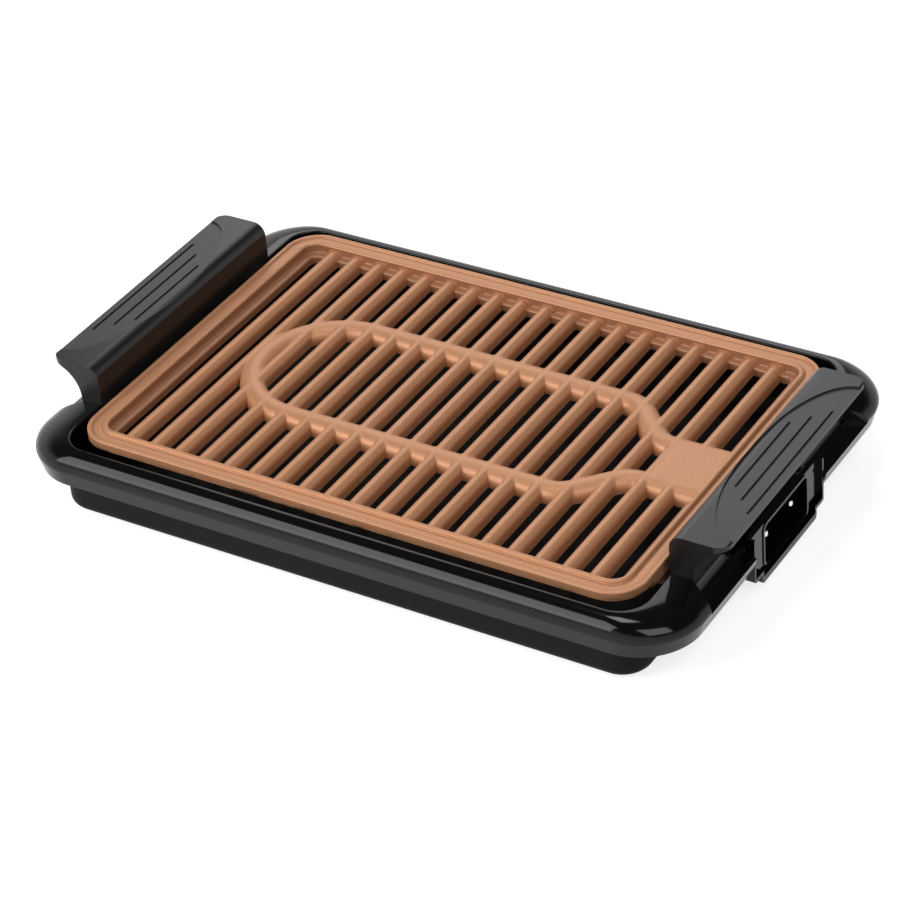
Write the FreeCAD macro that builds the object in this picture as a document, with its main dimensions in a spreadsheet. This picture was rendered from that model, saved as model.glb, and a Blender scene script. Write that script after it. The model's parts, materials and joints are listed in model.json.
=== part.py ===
"""Indoor electric grill: a cast plate with a looped heating element, set in a domed frame over a drip pan.

Millimetres, +Z up. The origin is on the counter under the middle of the grill, -Y is the front and +X the
end with the power inlet. Heights are above the counter.
"""
import FreeCAD, Part
import Sketcher
import math
import os
from FreeCAD import Placement, Rotation, Vector

SIZES = {
    # Cast plate: bars
    "bar_count": 19,
    "bar_pitch": 16.5,
    "bar_width": 6.6,
    "bar_top": 45.4,
    "bar_base": 37.0,
    "bar_tip_gap": 0.9,
    # Cast plate: rim, from its outer edge inwards
    "rim_half_length": 177.6,
    "rim_half_width": 120.6,
    "rim_corner": 21.0,
    "rim_base": 42.0,
    "rim_inset": 12.1,
    "crest_top": 48.0,
    "crest_width": 3.2,
    "crest_round": 1.4,
    "channel_floor": 46.3,
    "edge_bead_width": 2.6,
    "edge_bead_top": 47.2,
    "edge_bead_round": 0.8,
    "ledge_width": 4.8,
    # Cast plate: bulge over the heating element and the pad at its ends
    "loop_width": 15.4,
    "loop_top": 45.8,
    "loop_half_gap": 46.3,
    "loop_turn_x": -81.0,
    "neck_start_x": 88.0,
    "neck_end_x": 128.0,
    "neck_half_gap": 18.0,
    "pad_start_x": 131.0,
    "pad_end_x": 166.0,
    "pad_top": 45.5,
    # Round lugs that the plate stands and tilts on
    "lug_x": 174.5,
    "lug_y": 80.0,
    "lug_radius": 3.0,
    "lug_height": 40.0,
    "lug_length": 14.0,
    # Heating element and its terminals
    "element_radius": 3.8,
    "element_height": 38.5,
    "element_drop_x": 138.0,
    "element_end_x": 171.0,
    "element_straight": 5.0,
    "pin_half_gap": 15.2,
    "pin_height": 26.8,
    "pin_radius": 2.0,
    "pin_shank_radius": 1.6,
    "pin_tip_x": 203.0,
    "pin_tip_round": 1.2,
    "insulator_radius": 3.6,
    "insulator_end_x": 181.0,
    "probe_outer_radius": 4.2,
    "probe_inner_radius": 3.0,
    "probe_start_x": 146.0,
    "probe_end_x": 186.0,
    "terminal_plate_x": 172.5,
    "terminal_plate_thick": 2.0,
    "terminal_plate_half_width": 24.0,
    "terminal_plate_base": 21.0,
    "terminal_flange_start_x": 148.0,
    "terminal_flange_half_width": 9.5,
    "terminal_screw_x": 156.0,
    "terminal_screw_y": 6.0,
    "terminal_screw_radius": 1.5,
    "terminal_screw_depth": 5.0,
    "terminal_screw_head_radius": 2.8,
    "terminal_screw_head": 1.8,
    # Frame: crease, band below it and lip around the plate
    "crease_half_length": 211.0,
    "crease_half_width": 138.3,
    "crease_corner": 36.5,
    "crease_height": 32.8,
    "band_base": 23.5,
    "band_tuck_x": 2.6,
    "band_tuck_y": 1.5,
    "lip_half_length": 183.3,
    "lip_half_width": 127.1,
    "lip_corner": 17.5,
    "lip_top": 43.6,
    "lip_flat": 1.3,
    "lip_round": 1.0,
    "frame_wall": 3.0,
    "seat_height": 26.0,
    "groove_top": 37.0,
    "rib_thick": 3.0,
    "rib_reach": 6.0,
    "rib_x": 110.0,
    "rib_y": 70.0,
    # Frame: handle seats and finger scoops at the ends
    "handle_seat": 38.5,
    "seat_plate_thick": 3.2,
    "scoop_half_width": 92.0,
    "scoop_wall_x": 196.5,
    "scoop_wall_foot": 41.0,
    "scoop_round": 10.0,
    "scoop_floor_x": 203.8,
    "scoop_floor": 34.2,
    "kerb_x": 214.0,
    "kerb_top": 30.2,
    "scoop_cheek": 3.0,
    # Frame: opening for the power inlet
    "inlet_half_width": 42.2,
    "inlet_start_x": 199.0,
    "tunnel_half_width": 27.0,
    "tunnel_top": 35.0,
    # Power inlet surround
    "surround_face_x": 209.0,
    "surround_thick": 3.0,
    "surround_half_width": 42.0,
    "surround_top": 42.0,
    "skirt_step": 13.5,
    "skirt_half_width": 33.0,
    "skirt_base": 7.5,
    "skirt_round": 2.0,
    "socket_half_width": 25.5,
    "socket_half_height": 12.75,
    "socket_height": 27.25,
    "socket_corner": 3.5,
    "socket_rim": 1.6,
    # Handles
    "handle_half_length": 86.3,
    "handle_inner_x": 182.4,
    "handle_outer_x": 215.0,
    "handle_top": 68.0,
    "handle_shoulder": 7.5,
    "handle_edge_round": 1.5,
    "handle_tip_thick": 3.0,
    "handle_tip_x": 213.0,
    "handle_root_x": 196.3,
    "handle_root_height": 44.5,
    "handle_scoop_radius": 19.8,
    "handle_corner": 8.0,
    "leaf_length": 77.0,
    "leaf_width": 30.0,
    "leaf_depth": 1.1,
    "groove_width": 1.6,
    "groove_depth": 1.2,
    "groove_first_x": 193.8,
    "groove_pitch": 8.25,
    "groove_first_half_length": 32.8,
    "groove_growth": 9.4,
    "handle_screw_x": 190.5,
    "handle_screw_y": 60.0,
    "handle_screw_radius": 2.0,
    "handle_screw_depth": 12.0,
    "handle_screw_head_radius": 3.6,
    "handle_screw_head": 2.4,
    # Brackets that carry the plate inside the frame
    "rest_top": 36.7,
    "rest_thick": 1.5,
    "rest_half_width": 9.0,
    "rest_reach": 15.0,
    "rest_drop": 9.5,
    "rest_screw_height": 31.0,
    "rest_screw_radius": 1.4,
    "rest_screw_head_radius": 2.6,
    "rest_screw_head": 1.4,
    # Drip pan and feet
    "pan_base": 2.0,
    "pan_wall": 2.2,
    "pan_half_length": 185.8,
    "pan_half_width": 131.6,
    "pan_corner": 17.5,
    "pan_bottom_round": 6.0,
    "pan_inner_round": 4.0,
    "pan_notch_half_width": 31.0,
    "pan_notch_depth": 8.0,
    "foot_x": 150.0,
    "foot_y": 98.0,
    "foot_radius": 8.0,
    "foot_inset": 0.8,
    "foot_round": 0.8,
}

# Stations of the dome's quarter ellipse from the crease up to the lip, in degrees
DOME_ANGLES = (0.0, 30.0, 55.0, 90.0)
RIGHT_END, LEFT_END = 1, -1
BACK_SIDE, FRONT_SIDE = 1, -1
END_NAMES = {RIGHT_END: "right", LEFT_END: "left"}
SIDE_NAMES = {BACK_SIDE: "back", FRONT_SIDE: "front"}
# How far cutting shapes run past the faces they cut
OVERCUT = 30.0

doc = FreeCAD.newDocument("indoor_grill")
sheet = doc.addObject("Spreadsheet::Sheet", "sizes")
for row, (alias, number) in enumerate(SIZES.items(), start=1):
    sheet.set(f"A{row}", alias)
    sheet.set(f"B{row}", str(number))
    sheet.setAlias(f"B{row}", alias)
doc.recompute()


class Size:
    """A length that carries both its present value and the sheet expression that drives it."""

    def __init__(self, text, value):
        self.text = text
        self.value = value

    @staticmethod
    def of(item):
        """Return a Size for a Size or a plain number."""
        return item if isinstance(item, Size) else Size(f"({float(item)})", float(item))

    def __add__(self, other):
        other = Size.of(other)
        return Size(f"({self.text} + {other.text})", self.value + other.value)

    def __sub__(self, other):
        other = Size.of(other)
        return Size(f"({self.text} - {other.text})", self.value - other.value)

    def __mul__(self, other):
        other = Size.of(other)
        return Size(f"({self.text} * {other.text})", self.value * other.value)

    def __truediv__(self, other):
        other = Size.of(other)
        return Size(f"({self.text} / {other.text})", self.value / other.value)

    def __neg__(self):
        return self * -1


def size(alias):
    """Return the driving dimension with this alias."""
    return Size(f"sizes.{alias}", float(sheet.get(alias)))


def bind(item, **values):
    """Drive properties of an object with Sizes."""
    for name, value in values.items():
        item.setExpression(name, Size.of(value).text)
    return item


def place(item, x=0.0, y=0.0, z=0.0, rotation=None):
    """Drive an object's position with Sizes, with a fixed rotation."""
    if rotation is not None:
        item.Placement = Placement(Vector(), rotation)
    for axis, value in (("x", x), ("y", y), ("z", z)):
        item.setExpression(f".Placement.Base.{axis}", Size.of(value).text)
    return item


# Sketches and features
def new_body(name):
    """Start a body whose label names its file."""
    body = doc.addObject("PartDesign::Body", name)
    body.Label = name
    return body


def new_sketch(body, name, role="XY_Plane", offset=0.0, shift=0.0):
    """Start a sketch on one of the body's origin planes, moved along the plane's normal and its own x."""
    sketch = body.newObject("Sketcher::SketchObject", name)
    plane = next(item for item in body.Origin.OriginFeatures if item.Role == role)
    sketch.AttachmentSupport = [(plane, "")]
    sketch.MapMode = "FlatFace"
    sketch.setExpression(".AttachmentOffset.Base.z", Size.of(offset).text)
    sketch.setExpression(".AttachmentOffset.Base.x", Size.of(shift).text)
    return sketch


def constrain(sketch, kind, *points, value):
    """Add a dimension driven by a Size."""
    value = Size.of(value)
    index = sketch.addConstraint(Sketcher.Constraint(kind, *points, value.value))
    sketch.setExpression(f"Constraints[{index}]", value.text)


def draw_outline(sketch, corners, closed=True):
    """Draw straight edges and arcs through corners.

    A corner is (x, y) or (x, y, radius): with a radius, an arc runs from it to the next corner,
    counter-clockwise if the radius is positive.
    """
    count = len(corners) if closed else len(corners) - 1
    ends = []
    for index in range(count):
        start, finish = corners[index], corners[(index + 1) % len(corners)]
        first = Vector(Size.of(start[0]).value, Size.of(start[1]).value, 0)
        last = Vector(Size.of(finish[0]).value, Size.of(finish[1]).value, 0)
        if len(start) == 2:
            edge = sketch.addGeometry(Part.LineSegment(first, last))
            ends.append((edge, 1, 2))
            continue
        radius = Size.of(start[2])
        turn = math.copysign(1.0, radius.value)
        chord = last - first
        inward = math.sqrt(max(radius.value ** 2 - (chord.Length / 2) ** 2, 0.0))
        centre = (first + last) / 2 + Vector(-chord.y, chord.x, 0).normalize() * inward * turn
        from_point, to_point = (first, last) if turn > 0 else (last, first)
        angles = [math.atan2(point.y - centre.y, point.x - centre.x) for point in (from_point, to_point)]
        circle = Part.Circle(centre, Vector(0, 0, 1), abs(radius.value))
        edge = sketch.addGeometry(Part.ArcOfCircle(circle, *angles))
        constrain(sketch, "Radius", edge, value=radius * turn)
        ends.append((edge, 1, 2) if turn > 0 else (edge, 2, 1))
    for index, (edge, start_point, end_point) in enumerate(ends):
        if closed or index + 1 < count:
            following = ends[(index + 1) % count]
            sketch.addConstraint(Sketcher.Constraint("Coincident", edge, end_point, *following[:2]))
        constrain(sketch, "DistanceX", -1, 1, edge, start_point, value=corners[index][0])
        constrain(sketch, "DistanceY", -1, 1, edge, start_point, value=corners[index][1])
    if not closed:
        edge, _, end_point = ends[-1]
        constrain(sketch, "DistanceX", -1, 1, edge, end_point, value=corners[-1][0])
        constrain(sketch, "DistanceY", -1, 1, edge, end_point, value=corners[-1][1])
    return sketch


def draw_rounded(sketch, half_x, half_y, radius, centre_x=0.0, centre_y=0.0):
    """Draw a rectangle with rounded corners."""
    x, y, r = Size.of(half_x), Size.of(half_y), Size.of(radius)
    cx, cy = Size.of(centre_x), Size.of(centre_y)
    left, right, low, high = cx - x, cx + x, cy - y, cy + y
    return draw_outline(sketch, [
        (left + r, low), (right - r, low, r), (right, low + r), (right, high - r, r),
        (right - r, high), (left + r, high, r), (left, high - r), (left, low + r, r)])


def draw_slot(sketch, half_width, half_length, centre_x):
    """Draw a slot along y with round ends."""
    right, left, reach = centre_x + half_width, centre_x - half_width, half_length - half_width
    return draw_outline(sketch, [
        (right, -reach), (right, reach, half_width), (centre_x, half_length, half_width), (left, reach),
        (left, -reach, half_width), (centre_x, -half_length, half_width)])


def draw_circle(sketch, x, y, radius):
    """Draw a circle."""
    x, y, radius = Size.of(x), Size.of(y), Size.of(radius)
    edge = sketch.addGeometry(Part.Circle(Vector(x.value, y.value, 0), Vector(0, 0, 1), radius.value))
    constrain(sketch, "DistanceX", -1, 1, edge, 3, value=x)
    constrain(sketch, "DistanceY", -1, 1, edge, 3, value=y)
    constrain(sketch, "Radius", edge, value=radius)
    return sketch


def extrude(sketch, length, cut=False, both_ways=False, backwards=False):
    """Pad a sketch along its normal, or pocket it against its normal."""
    body = sketch.getParentGeoFeatureGroup()
    kind = "Pocket" if cut else "Pad"
    feature = body.newObject(f"PartDesign::{kind}", f"{sketch.Name}_{kind.lower()}")
    feature.Profile = sketch
    feature.SideType = "Symmetric" if both_ways else "One side"
    feature.Reversed = backwards
    feature.Refine = False
    return bind(feature, Length=length)


def loft(sketches, cut=False, ruled=False):
    """Join level outlines into a solid, or take that solid away."""
    body = sketches[0].getParentGeoFeatureGroup()
    kind = "SubtractiveLoft" if cut else "AdditiveLoft"
    feature = body.newObject(f"PartDesign::{kind}", f"{sketches[0].Name}_loft")
    feature.Profile = sketches[0]
    feature.Sections = sketches[1:]
    feature.Ruled = ruled
    feature.Refine = False
    return feature


def round_edges(feature, radius, wanted):
    """Round the edges of a feature that a test picks."""
    doc.recompute()
    body = feature.getParentGeoFeatureGroup()
    names = [f"Edge{index}" for index, edge in enumerate(feature.Shape.Edges, start=1) if wanted(edge)]
    fillet = body.newObject("PartDesign::Fillet", f"{feature.Name}_round")
    fillet.Base = (feature, names)
    fillet.Refine = False
    return bind(fillet, Radius=radius)


def lies_at(edge, height):
    """Say whether an edge lies level at a height."""
    box = edge.BoundBox
    return abs(box.ZMin - height.value) < 0.01 and abs(box.ZMax - height.value) < 0.01


def lies_on(edge, height, half_x, half_y, corner):
    """Say whether an edge lies level at a height on a rectangle with rounded corners."""
    middle = edge.valueAt((edge.FirstParameter + edge.LastParameter) / 2)
    across = abs(middle.x) - half_x.value + corner.value
    along = abs(middle.y) - half_y.value + corner.value
    outside = math.hypot(max(across, 0.0), max(along, 0.0)) + min(max(across, along), 0.0) - corner.value
    return lies_at(edge, height) and abs(outside) < 0.01


# Primitives and booleans
def cylinder(name, radius, length, x=0.0, y=0.0, z=0.0, direction=Vector(0, 0, 1)):
    """Make a cylinder from a point along a direction."""
    item = bind(doc.addObject("Part::Cylinder", name), Radius=radius, Height=length)
    return place(item, x, y, z, Rotation(Vector(0, 0, 1), direction))


def box(name, start, extent):
    """Make a box from its low corner and its extent."""
    item = bind(doc.addObject("Part::Box", name), Length=extent[0], Width=extent[1], Height=extent[2])
    return place(item, *start)


def fuse(name, items):
    """Join solids into one."""
    joined = doc.addObject("Part::MultiFuse", name)
    joined.Label = name
    joined.Shapes = items
    return joined


def group(name, items):
    """Gather separate solids in one node."""
    gathered = doc.addObject("Part::Compound", name)
    gathered.Label = name
    gathered.Links = items
    return gathered


def cut(name, base, tool):
    """Take one solid away from another."""
    result = doc.addObject("Part::Cut", name)
    result.Label = name
    result.Base = base
    result.Tool = tool
    return result


def soften(name, base, radius, wanted):
    """Round the edges of a primitive that a test picks."""
    doc.recompute()
    item = doc.addObject("Part::Fillet", name)
    item.Label = name
    item.Base = base
    edges = enumerate(base.Shape.Edges, start=1)
    item.Edges = [(index, radius.value, radius.value) for index, edge in edges if wanted(edge)]
    return item


def headed_screw(name, start, direction, shank, head):
    """Make a screw from under its head: shank and head are (radius, length)."""
    body = cylinder(f"{name}_shank", *shank, *start, direction)
    cap = cylinder(f"{name}_head", *head, *start, -direction)
    return fuse(name, [body, cap])


# Drip pan and feet
def pan_outline(body, name, height, inset):
    """Draw the pan's outline at a height and a distance inwards from its outer wall."""
    return draw_rounded(new_sketch(body, name, offset=height), size("pan_half_length") - inset,
                        size("pan_half_width") - inset, size("pan_corner") - inset)


def make_drip_pan():
    """Make the tub with its notch for the terminals and recesses for the feet."""
    pan = new_body("drip_pan")
    base, rim, wall = size("pan_base"), size("seat_height"), size("pan_wall")
    tub = extrude(pan_outline(pan, "pan_outside", base, Size.of(0.0)), rim - base)
    round_edges(tub, size("pan_bottom_round"), lambda edge: lies_at(edge, base))
    floor = base + wall
    hollow = extrude(pan_outline(pan, "pan_inside", rim, wall), rim - floor, cut=True)
    round_edges(hollow, size("pan_inner_round"), lambda edge: lies_at(edge, floor))
    notch = new_sketch(pan, "pan_notch", offset=rim)
    inner, outer = size("rim_half_length"), size("pan_half_length") + OVERCUT
    half = size("pan_notch_half_width")
    draw_outline(notch, [(inner, -half), (outer, -half), (outer, half), (inner, half)])
    extrude(notch, size("pan_notch_depth"), cut=True)
    recesses = new_sketch(pan, "foot_recesses", offset=base)
    for end in END_NAMES:
        for side in SIDE_NAMES:
            draw_circle(recesses, size("foot_x") * end, size("foot_y") * side, size("foot_radius"))
    extrude(recesses, size("foot_inset"), cut=True, backwards=True)
    return pan


def make_foot(end, side):
    """Make a rubber foot set into the pan's underside."""
    name = f"foot_{SIDE_NAMES[side]}_{END_NAMES[end]}"
    pad = cylinder(f"{name}_pad", size("foot_radius"), size("pan_base") + size("foot_inset"),
                   size("foot_x") * end, size("foot_y") * side)
    return soften(name, pad, size("foot_round"), lambda edge: edge.BoundBox.ZMax < 0.01)


# Frame
def dome_outline(body, name, angle):
    """Draw the dome's outline at one station of its quarter ellipse."""
    run, rise = 1 - math.cos(math.radians(angle)), math.sin(math.radians(angle))
    flat = size("lip_flat")
    length, width, corner = size("crease_half_length"), size("crease_half_width"), size("crease_corner")
    height = size("crease_height")
    sketch = new_sketch(body, name, offset=height + (size("lip_top") - height) * rise)
    return draw_rounded(sketch, length - (length - size("lip_half_length") - flat) * run,
                        width - (width - size("lip_half_width") - flat) * run,
                        corner - (corner - size("lip_corner") - flat) * run)


def band_outline(body, name):
    """Draw the outline of the band's lower edge."""
    return draw_rounded(new_sketch(body, name, offset=size("band_base")),
                        size("crease_half_length") - size("band_tuck_x"),
                        size("crease_half_width") - size("band_tuck_y"),
                        size("crease_corner") - size("band_tuck_y"))


def add_frame_hollow(frame):
    """Hollow the frame from below, leaving its inner wall and ribs that seat on the pan's rim."""
    base, wall, seat = size("band_base"), size("frame_wall"), size("seat_height")
    length, width, corner = size("lip_half_length"), size("lip_half_width"), size("lip_corner")
    groove = new_sketch(frame, "underside_groove", offset=base)
    draw_rounded(groove, size("crease_half_length") - size("band_tuck_x") - wall,
                 size("crease_half_width") - size("band_tuck_y") - wall,
                 size("crease_corner") - size("band_tuck_y") - wall)
    draw_rounded(groove, length + wall, width + wall, corner + wall)
    extrude(groove, size("groove_top") - base, cut=True, backwards=True)
    relief = new_sketch(frame, "inner_wall_foot", offset=base)
    draw_rounded(relief, length + wall, width + wall, corner + wall)
    extrude(relief, seat - base, cut=True, backwards=True)
    ribs = new_sketch(frame, "seat_ribs", offset=seat)
    half, reach = size("rib_thick") / 2, size("rib_reach")
    for side in SIDE_NAMES:
        near, far = (width + wall / 2) * side, (width + reach) * side
        for x in (-size("rib_x"), Size.of(0.0), size("rib_x")):
            draw_outline(ribs, [(x - half, near), (x + half, near), (x + half, far), (x - half, far)])
    for end in END_NAMES:
        near, far = (length + wall / 2) * end, (length + reach) * end
        for y in (-size("rib_y"), size("rib_y")):
            draw_outline(ribs, [(near, y - half), (far, y - half), (far, y + half), (near, y + half)])
    extrude(ribs, size("groove_top") + wall / 2 - seat)


def add_frame_end(frame, end):
    """Add a handle seat and a finger scoop to one end of the frame."""
    name = END_NAMES[end]
    lip, seat, wall_x = size("lip_half_length"), size("handle_seat"), size("scoop_wall_x")
    thick, floor, floor_x = size("seat_plate_thick"), size("scoop_floor"), size("scoop_floor_x")
    crease, crease_z = size("crease_half_length"), size("crease_height")
    wall, half = size("frame_wall") / 2, size("scoop_half_width")
    block = new_sketch(frame, f"{name}_end_block", "XZ_Plane")
    draw_outline(block, [
        (lip * end, seat - thick), (lip * end, size("lip_top") - wall),
        (wall_x * end, size("lip_top") - wall - wall), (floor_x * end, crease_z + wall * 4),
        ((crease - wall) * end, crease_z + wall), ((crease - wall) * end, size("kerb_top") - thick),
        (floor_x * end, floor - thick), (wall_x * end, seat - thick)])
    extrude(block, (half + size("scoop_cheek")) * 2, both_ways=True)
    top = size("lip_top") + OVERCUT
    pocket = new_sketch(frame, f"{name}_handle_seat", "XZ_Plane")
    inner = size("rim_half_length") * end
    draw_outline(pocket, [(inner, seat), (wall_x * end, seat), (wall_x * end, top), (inner, top)])
    extrude(pocket, size("handle_half_length") * 2, cut=True, both_ways=True)
    scoop = new_sketch(frame, f"{name}_scoop", "XZ_Plane")
    foot = size("scoop_wall_foot")
    draw_outline(scoop, [
        (wall_x * end, top), (wall_x * end, foot, size("scoop_round") * end), (floor_x * end, floor),
        (size("kerb_x") * end, size("kerb_top")), (size("kerb_x") * end, top)])
    extrude(scoop, half * 2, cut=True, both_ways=True)
    holes = new_sketch(frame, f"{name}_handle_holes", offset=seat)
    for row in (FRONT_SIDE, 0, BACK_SIDE):
        draw_circle(holes, size("handle_screw_x") * end, size("handle_screw_y") * row,
                    size("handle_screw_radius"))
    extrude(holes, thick + 1, cut=True)


def make_brim_frame():
    """Make the domed frame: shell, inner wall, seat on the pan, handle seats and inlet opening."""
    frame = new_body("brim_frame")
    loft([band_outline(frame, "band_edge"), dome_outline(frame, "crease", 0.0)], ruled=True)
    loft([dome_outline(frame, f"dome_{step}", angle) for step, angle in enumerate(DOME_ANGLES)])
    opening = new_sketch(frame, "opening", offset=size("lip_top") + 1)
    draw_rounded(opening, size("lip_half_length"), size("lip_half_width"), size("lip_corner"))
    hole = extrude(opening, size("lip_top"), cut=True)
    round_edges(hole, size("lip_round"), lambda edge: lies_on(
        edge, size("lip_top"), size("lip_half_length"), size("lip_half_width"), size("lip_corner")))
    add_frame_hollow(frame)
    for end in END_NAMES:
        add_frame_end(frame, end)
    add_inlet_opening(frame)
    add_rest_screw_holes(frame)
    return frame


def add_inlet_opening(frame):
    """Cut the frame's right end for the inlet surround and the terminals behind it."""
    notch = new_sketch(frame, "inlet_notch", offset=size("lip_top"))
    start, outer, half = size("inlet_start_x"), size("handle_outer_x"), size("inlet_half_width")
    draw_outline(notch, [(start, -half), (outer, -half), (outer, half), (start, half)])
    extrude(notch, size("lip_top"), cut=True)
    tunnel = new_sketch(frame, "terminal_tunnel", offset=size("tunnel_top"))
    inner, narrow = size("rim_half_length"), size("tunnel_half_width")
    draw_outline(tunnel, [(inner, -narrow), (start, -narrow), (start, narrow), (inner, narrow)])
    extrude(tunnel, size("tunnel_top"), cut=True)


def add_rest_screw_holes(frame):
    """Drill the inner end walls for the brackets' screws."""
    holes = new_sketch(frame, "rest_screw_holes", "YZ_Plane")
    for side in SIDE_NAMES:
        draw_circle(holes, size("lug_y") * side, size("rest_screw_height"), size("rest_screw_radius"))
    extrude(holes, (size("lip_half_length") + size("frame_wall")) * 2, cut=True, both_ways=True)


def make_socket_surround():
    """Make the stepped panel around the power inlet with a collar behind its opening."""
    surround = new_body("socket_surround")
    back_x = size("surround_face_x") - size("surround_thick")
    half, narrow, top = size("surround_half_width"), size("skirt_half_width"), size("surround_top")
    step, base, r = size("skirt_step"), size("skirt_base"), size("skirt_round")
    panel = new_sketch(surround, "inlet_panel", "YZ_Plane", back_x)
    draw_outline(panel, [
        (-narrow + r, base), (narrow - r, base, r), (narrow, base + r), (narrow, step),
        (half - r, step, r), (half, step + r), (half, top), (-half, top), (-half, step + r, r),
        (-half + r, step), (-narrow, step), (-narrow, base + r, r)])
    extrude(panel, size("surround_thick"))
    wide, high, corner = size("socket_half_width"), size("socket_half_height"), size("socket_corner")
    rim, centre = size("socket_rim"), size("socket_height")
    collar = new_sketch(surround, "collar", "YZ_Plane", size("inlet_start_x"))
    draw_rounded(collar, wide + rim, high + rim, corner + rim, 0.0, centre)
    extrude(collar, back_x - size("inlet_start_x"))
    mouth = new_sketch(surround, "mouth", "YZ_Plane", size("handle_outer_x"))
    draw_rounded(mouth, wide, high, corner, 0.0, centre)
    extrude(mouth, OVERCUT, cut=True)
    return surround


# Handles
def make_handle(end):
    """Make a handle with a leaf-shaped recess over its shoulder and three grooves."""
    name = f"{END_NAMES[end]}_handle"
    body = new_body(f"{name}_blank")
    inner, outer, top = size("handle_inner_x"), size("handle_outer_x"), size("handle_top")
    seat, round_off, edge = size("handle_seat"), size("handle_shoulder"), size("handle_edge_round")
    root, tip = size("handle_root_x"), size("handle_tip_x")
    half = size("handle_half_length")
    section = new_sketch(body, f"{name}_section", "XZ_Plane")
    draw_outline(section, [
        (inner * end, seat), (inner * end, top - round_off, -round_off * end),
        ((inner + round_off) * end, top), ((outer - edge) * end, top, -edge * end),
        (outer * end, top - edge), (outer * end, top - size("handle_tip_thick")),
        (tip * end, top - size("handle_tip_thick"), size("handle_scoop_radius") * end),
        (root * end, size("handle_root_height")), (root * end, seat)])
    extrude(section, half * 2, both_ways=True)
    corner = size("handle_corner")
    for side in SIDE_NAMES:
        trim = new_sketch(body, f"{name}_{SIDE_NAMES[side]}_corner", offset=top + 1)
        draw_outline(trim, [
            (outer * end, (half - corner) * side, corner * end * side),
            ((outer - corner) * end, half * side), ((outer - corner) * end, (half + 1) * side),
            ((outer + 1) * end, (half + 1) * side), ((outer + 1) * end, (half - corner) * side)])
        extrude(trim, OVERCUT, cut=True)
    holes = new_sketch(body, f"{name}_screw_holes", offset=seat)
    for row in (FRONT_SIDE, 0, BACK_SIDE):
        draw_circle(holes, size("handle_screw_x") * end, size("handle_screw_y") * row,
                    size("handle_screw_radius"))
    extrude(holes, size("handle_screw_depth"), cut=True, backwards=True)
    grooves = new_sketch(body, f"{name}_grooves", offset=top)
    width = size("groove_width") / 2
    for row in range(3):
        draw_slot(grooves, width, size("groove_first_half_length") + size("groove_growth") * row,
                  (size("groove_first_x") + size("groove_pitch") * row) * end)
    extrude(grooves, size("leaf_depth") + size("groove_depth"), cut=True)
    return cut(name, body, make_leaf(name, end))


def make_leaf(name, end):
    """Make the half-ellipse skin that is taken off a handle's top and shoulder."""
    skin = new_body(f"{name}_skin")
    depth, seat, top = size("leaf_depth"), size("handle_seat"), size("handle_top")
    inner, outer = size("handle_inner_x"), size("handle_outer_x")
    round_off = size("handle_shoulder")
    section = new_sketch(skin, f"{name}_skin_section", "XZ_Plane")
    draw_outline(section, [
        ((inner + depth) * end, seat), ((inner + depth) * end, top - round_off, (depth - round_off) * end),
        ((inner + round_off) * end, top - depth), ((outer + 1) * end, top - depth),
        ((outer + 1) * end, top + 1), ((inner - 1) * end, top + 1), ((inner - 1) * end, seat)])
    extrude(section, size("handle_half_length") * 2, both_ways=True)
    ellipse = bind(doc.addObject("Part::Ellipse", f"{name}_leaf_edge"),
                   MajorRadius=size("leaf_length"), MinorRadius=size("leaf_width"))
    place(ellipse, outer * end, 0.0, seat, Rotation(Vector(0, 0, 1), 90))
    column = doc.addObject("Part::Extrusion", f"{name}_leaf_column")
    column.Base = ellipse
    column.Dir = Vector(0, 0, 1)
    column.Solid = True
    bind(column, LengthFwd=top - seat + 1)
    leaf = doc.addObject("Part::Common", f"{name}_leaf")
    leaf.Base = skin
    leaf.Tool = column
    return leaf


def make_handle_screws(end):
    """Make the three screws that hold a handle from below."""
    name = f"{END_NAMES[end]}_handle_screws"
    under = size("handle_seat") - size("seat_plate_thick")
    shank = (size("handle_screw_radius"), size("seat_plate_thick") + size("handle_screw_depth"))
    head = (size("handle_screw_head_radius"), size("handle_screw_head"))
    return group(name, [
        headed_screw(f"{name}_{row + 2}", (size("handle_screw_x") * end, size("handle_screw_y") * row, under),
                     Vector(0, 0, 1), shank, head)
        for row in (FRONT_SIDE, 0, BACK_SIDE)])


# Brackets under the plate
def make_rest_bracket(end, side):
    """Make an angle bracket on the frame's inner wall for one of the plate's lugs."""
    name = f"rest_bracket_{SIDE_NAMES[side]}_{END_NAMES[end]}"
    wall, thick, half = size("lip_half_length"), size("rest_thick"), size("rest_half_width")
    reach, top, drop = size("rest_reach"), size("rest_top"), size("rest_drop")
    low_y = size("lug_y") * side - half
    shelf_x = wall - reach if end == RIGHT_END else -wall
    leaf_x = wall - thick if end == RIGHT_END else -wall
    shelf = box(f"{name}_shelf", (shelf_x, low_y, top - thick), (reach, half * 2, thick))
    leaf = box(f"{name}_leaf", (leaf_x, low_y, top - drop), (thick, half * 2, drop))
    drill = cylinder(f"{name}_drill", size("rest_screw_radius"), reach, (wall - reach) * end,
                     size("lug_y") * side, size("rest_screw_height"), Vector(end, 0, 0))
    return cut(name, fuse(f"{name}_blank", [shelf, leaf]), drill)


def make_rest_bracket_screws():
    """Make one screw for each bracket."""
    shank = (size("rest_screw_radius"), size("rest_thick") + size("frame_wall"))
    head = (size("rest_screw_head_radius"), size("rest_screw_head"))
    inner = size("lip_half_length") - size("rest_thick")
    return group("rest_bracket_screws", [
        headed_screw(f"rest_screw_{SIDE_NAMES[side]}_{END_NAMES[end]}",
                     (inner * end, size("lug_y") * side, size("rest_screw_height")), Vector(end, 0, 0),
                     shank, head)
        for end in END_NAMES for side in SIDE_NAMES])


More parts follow.
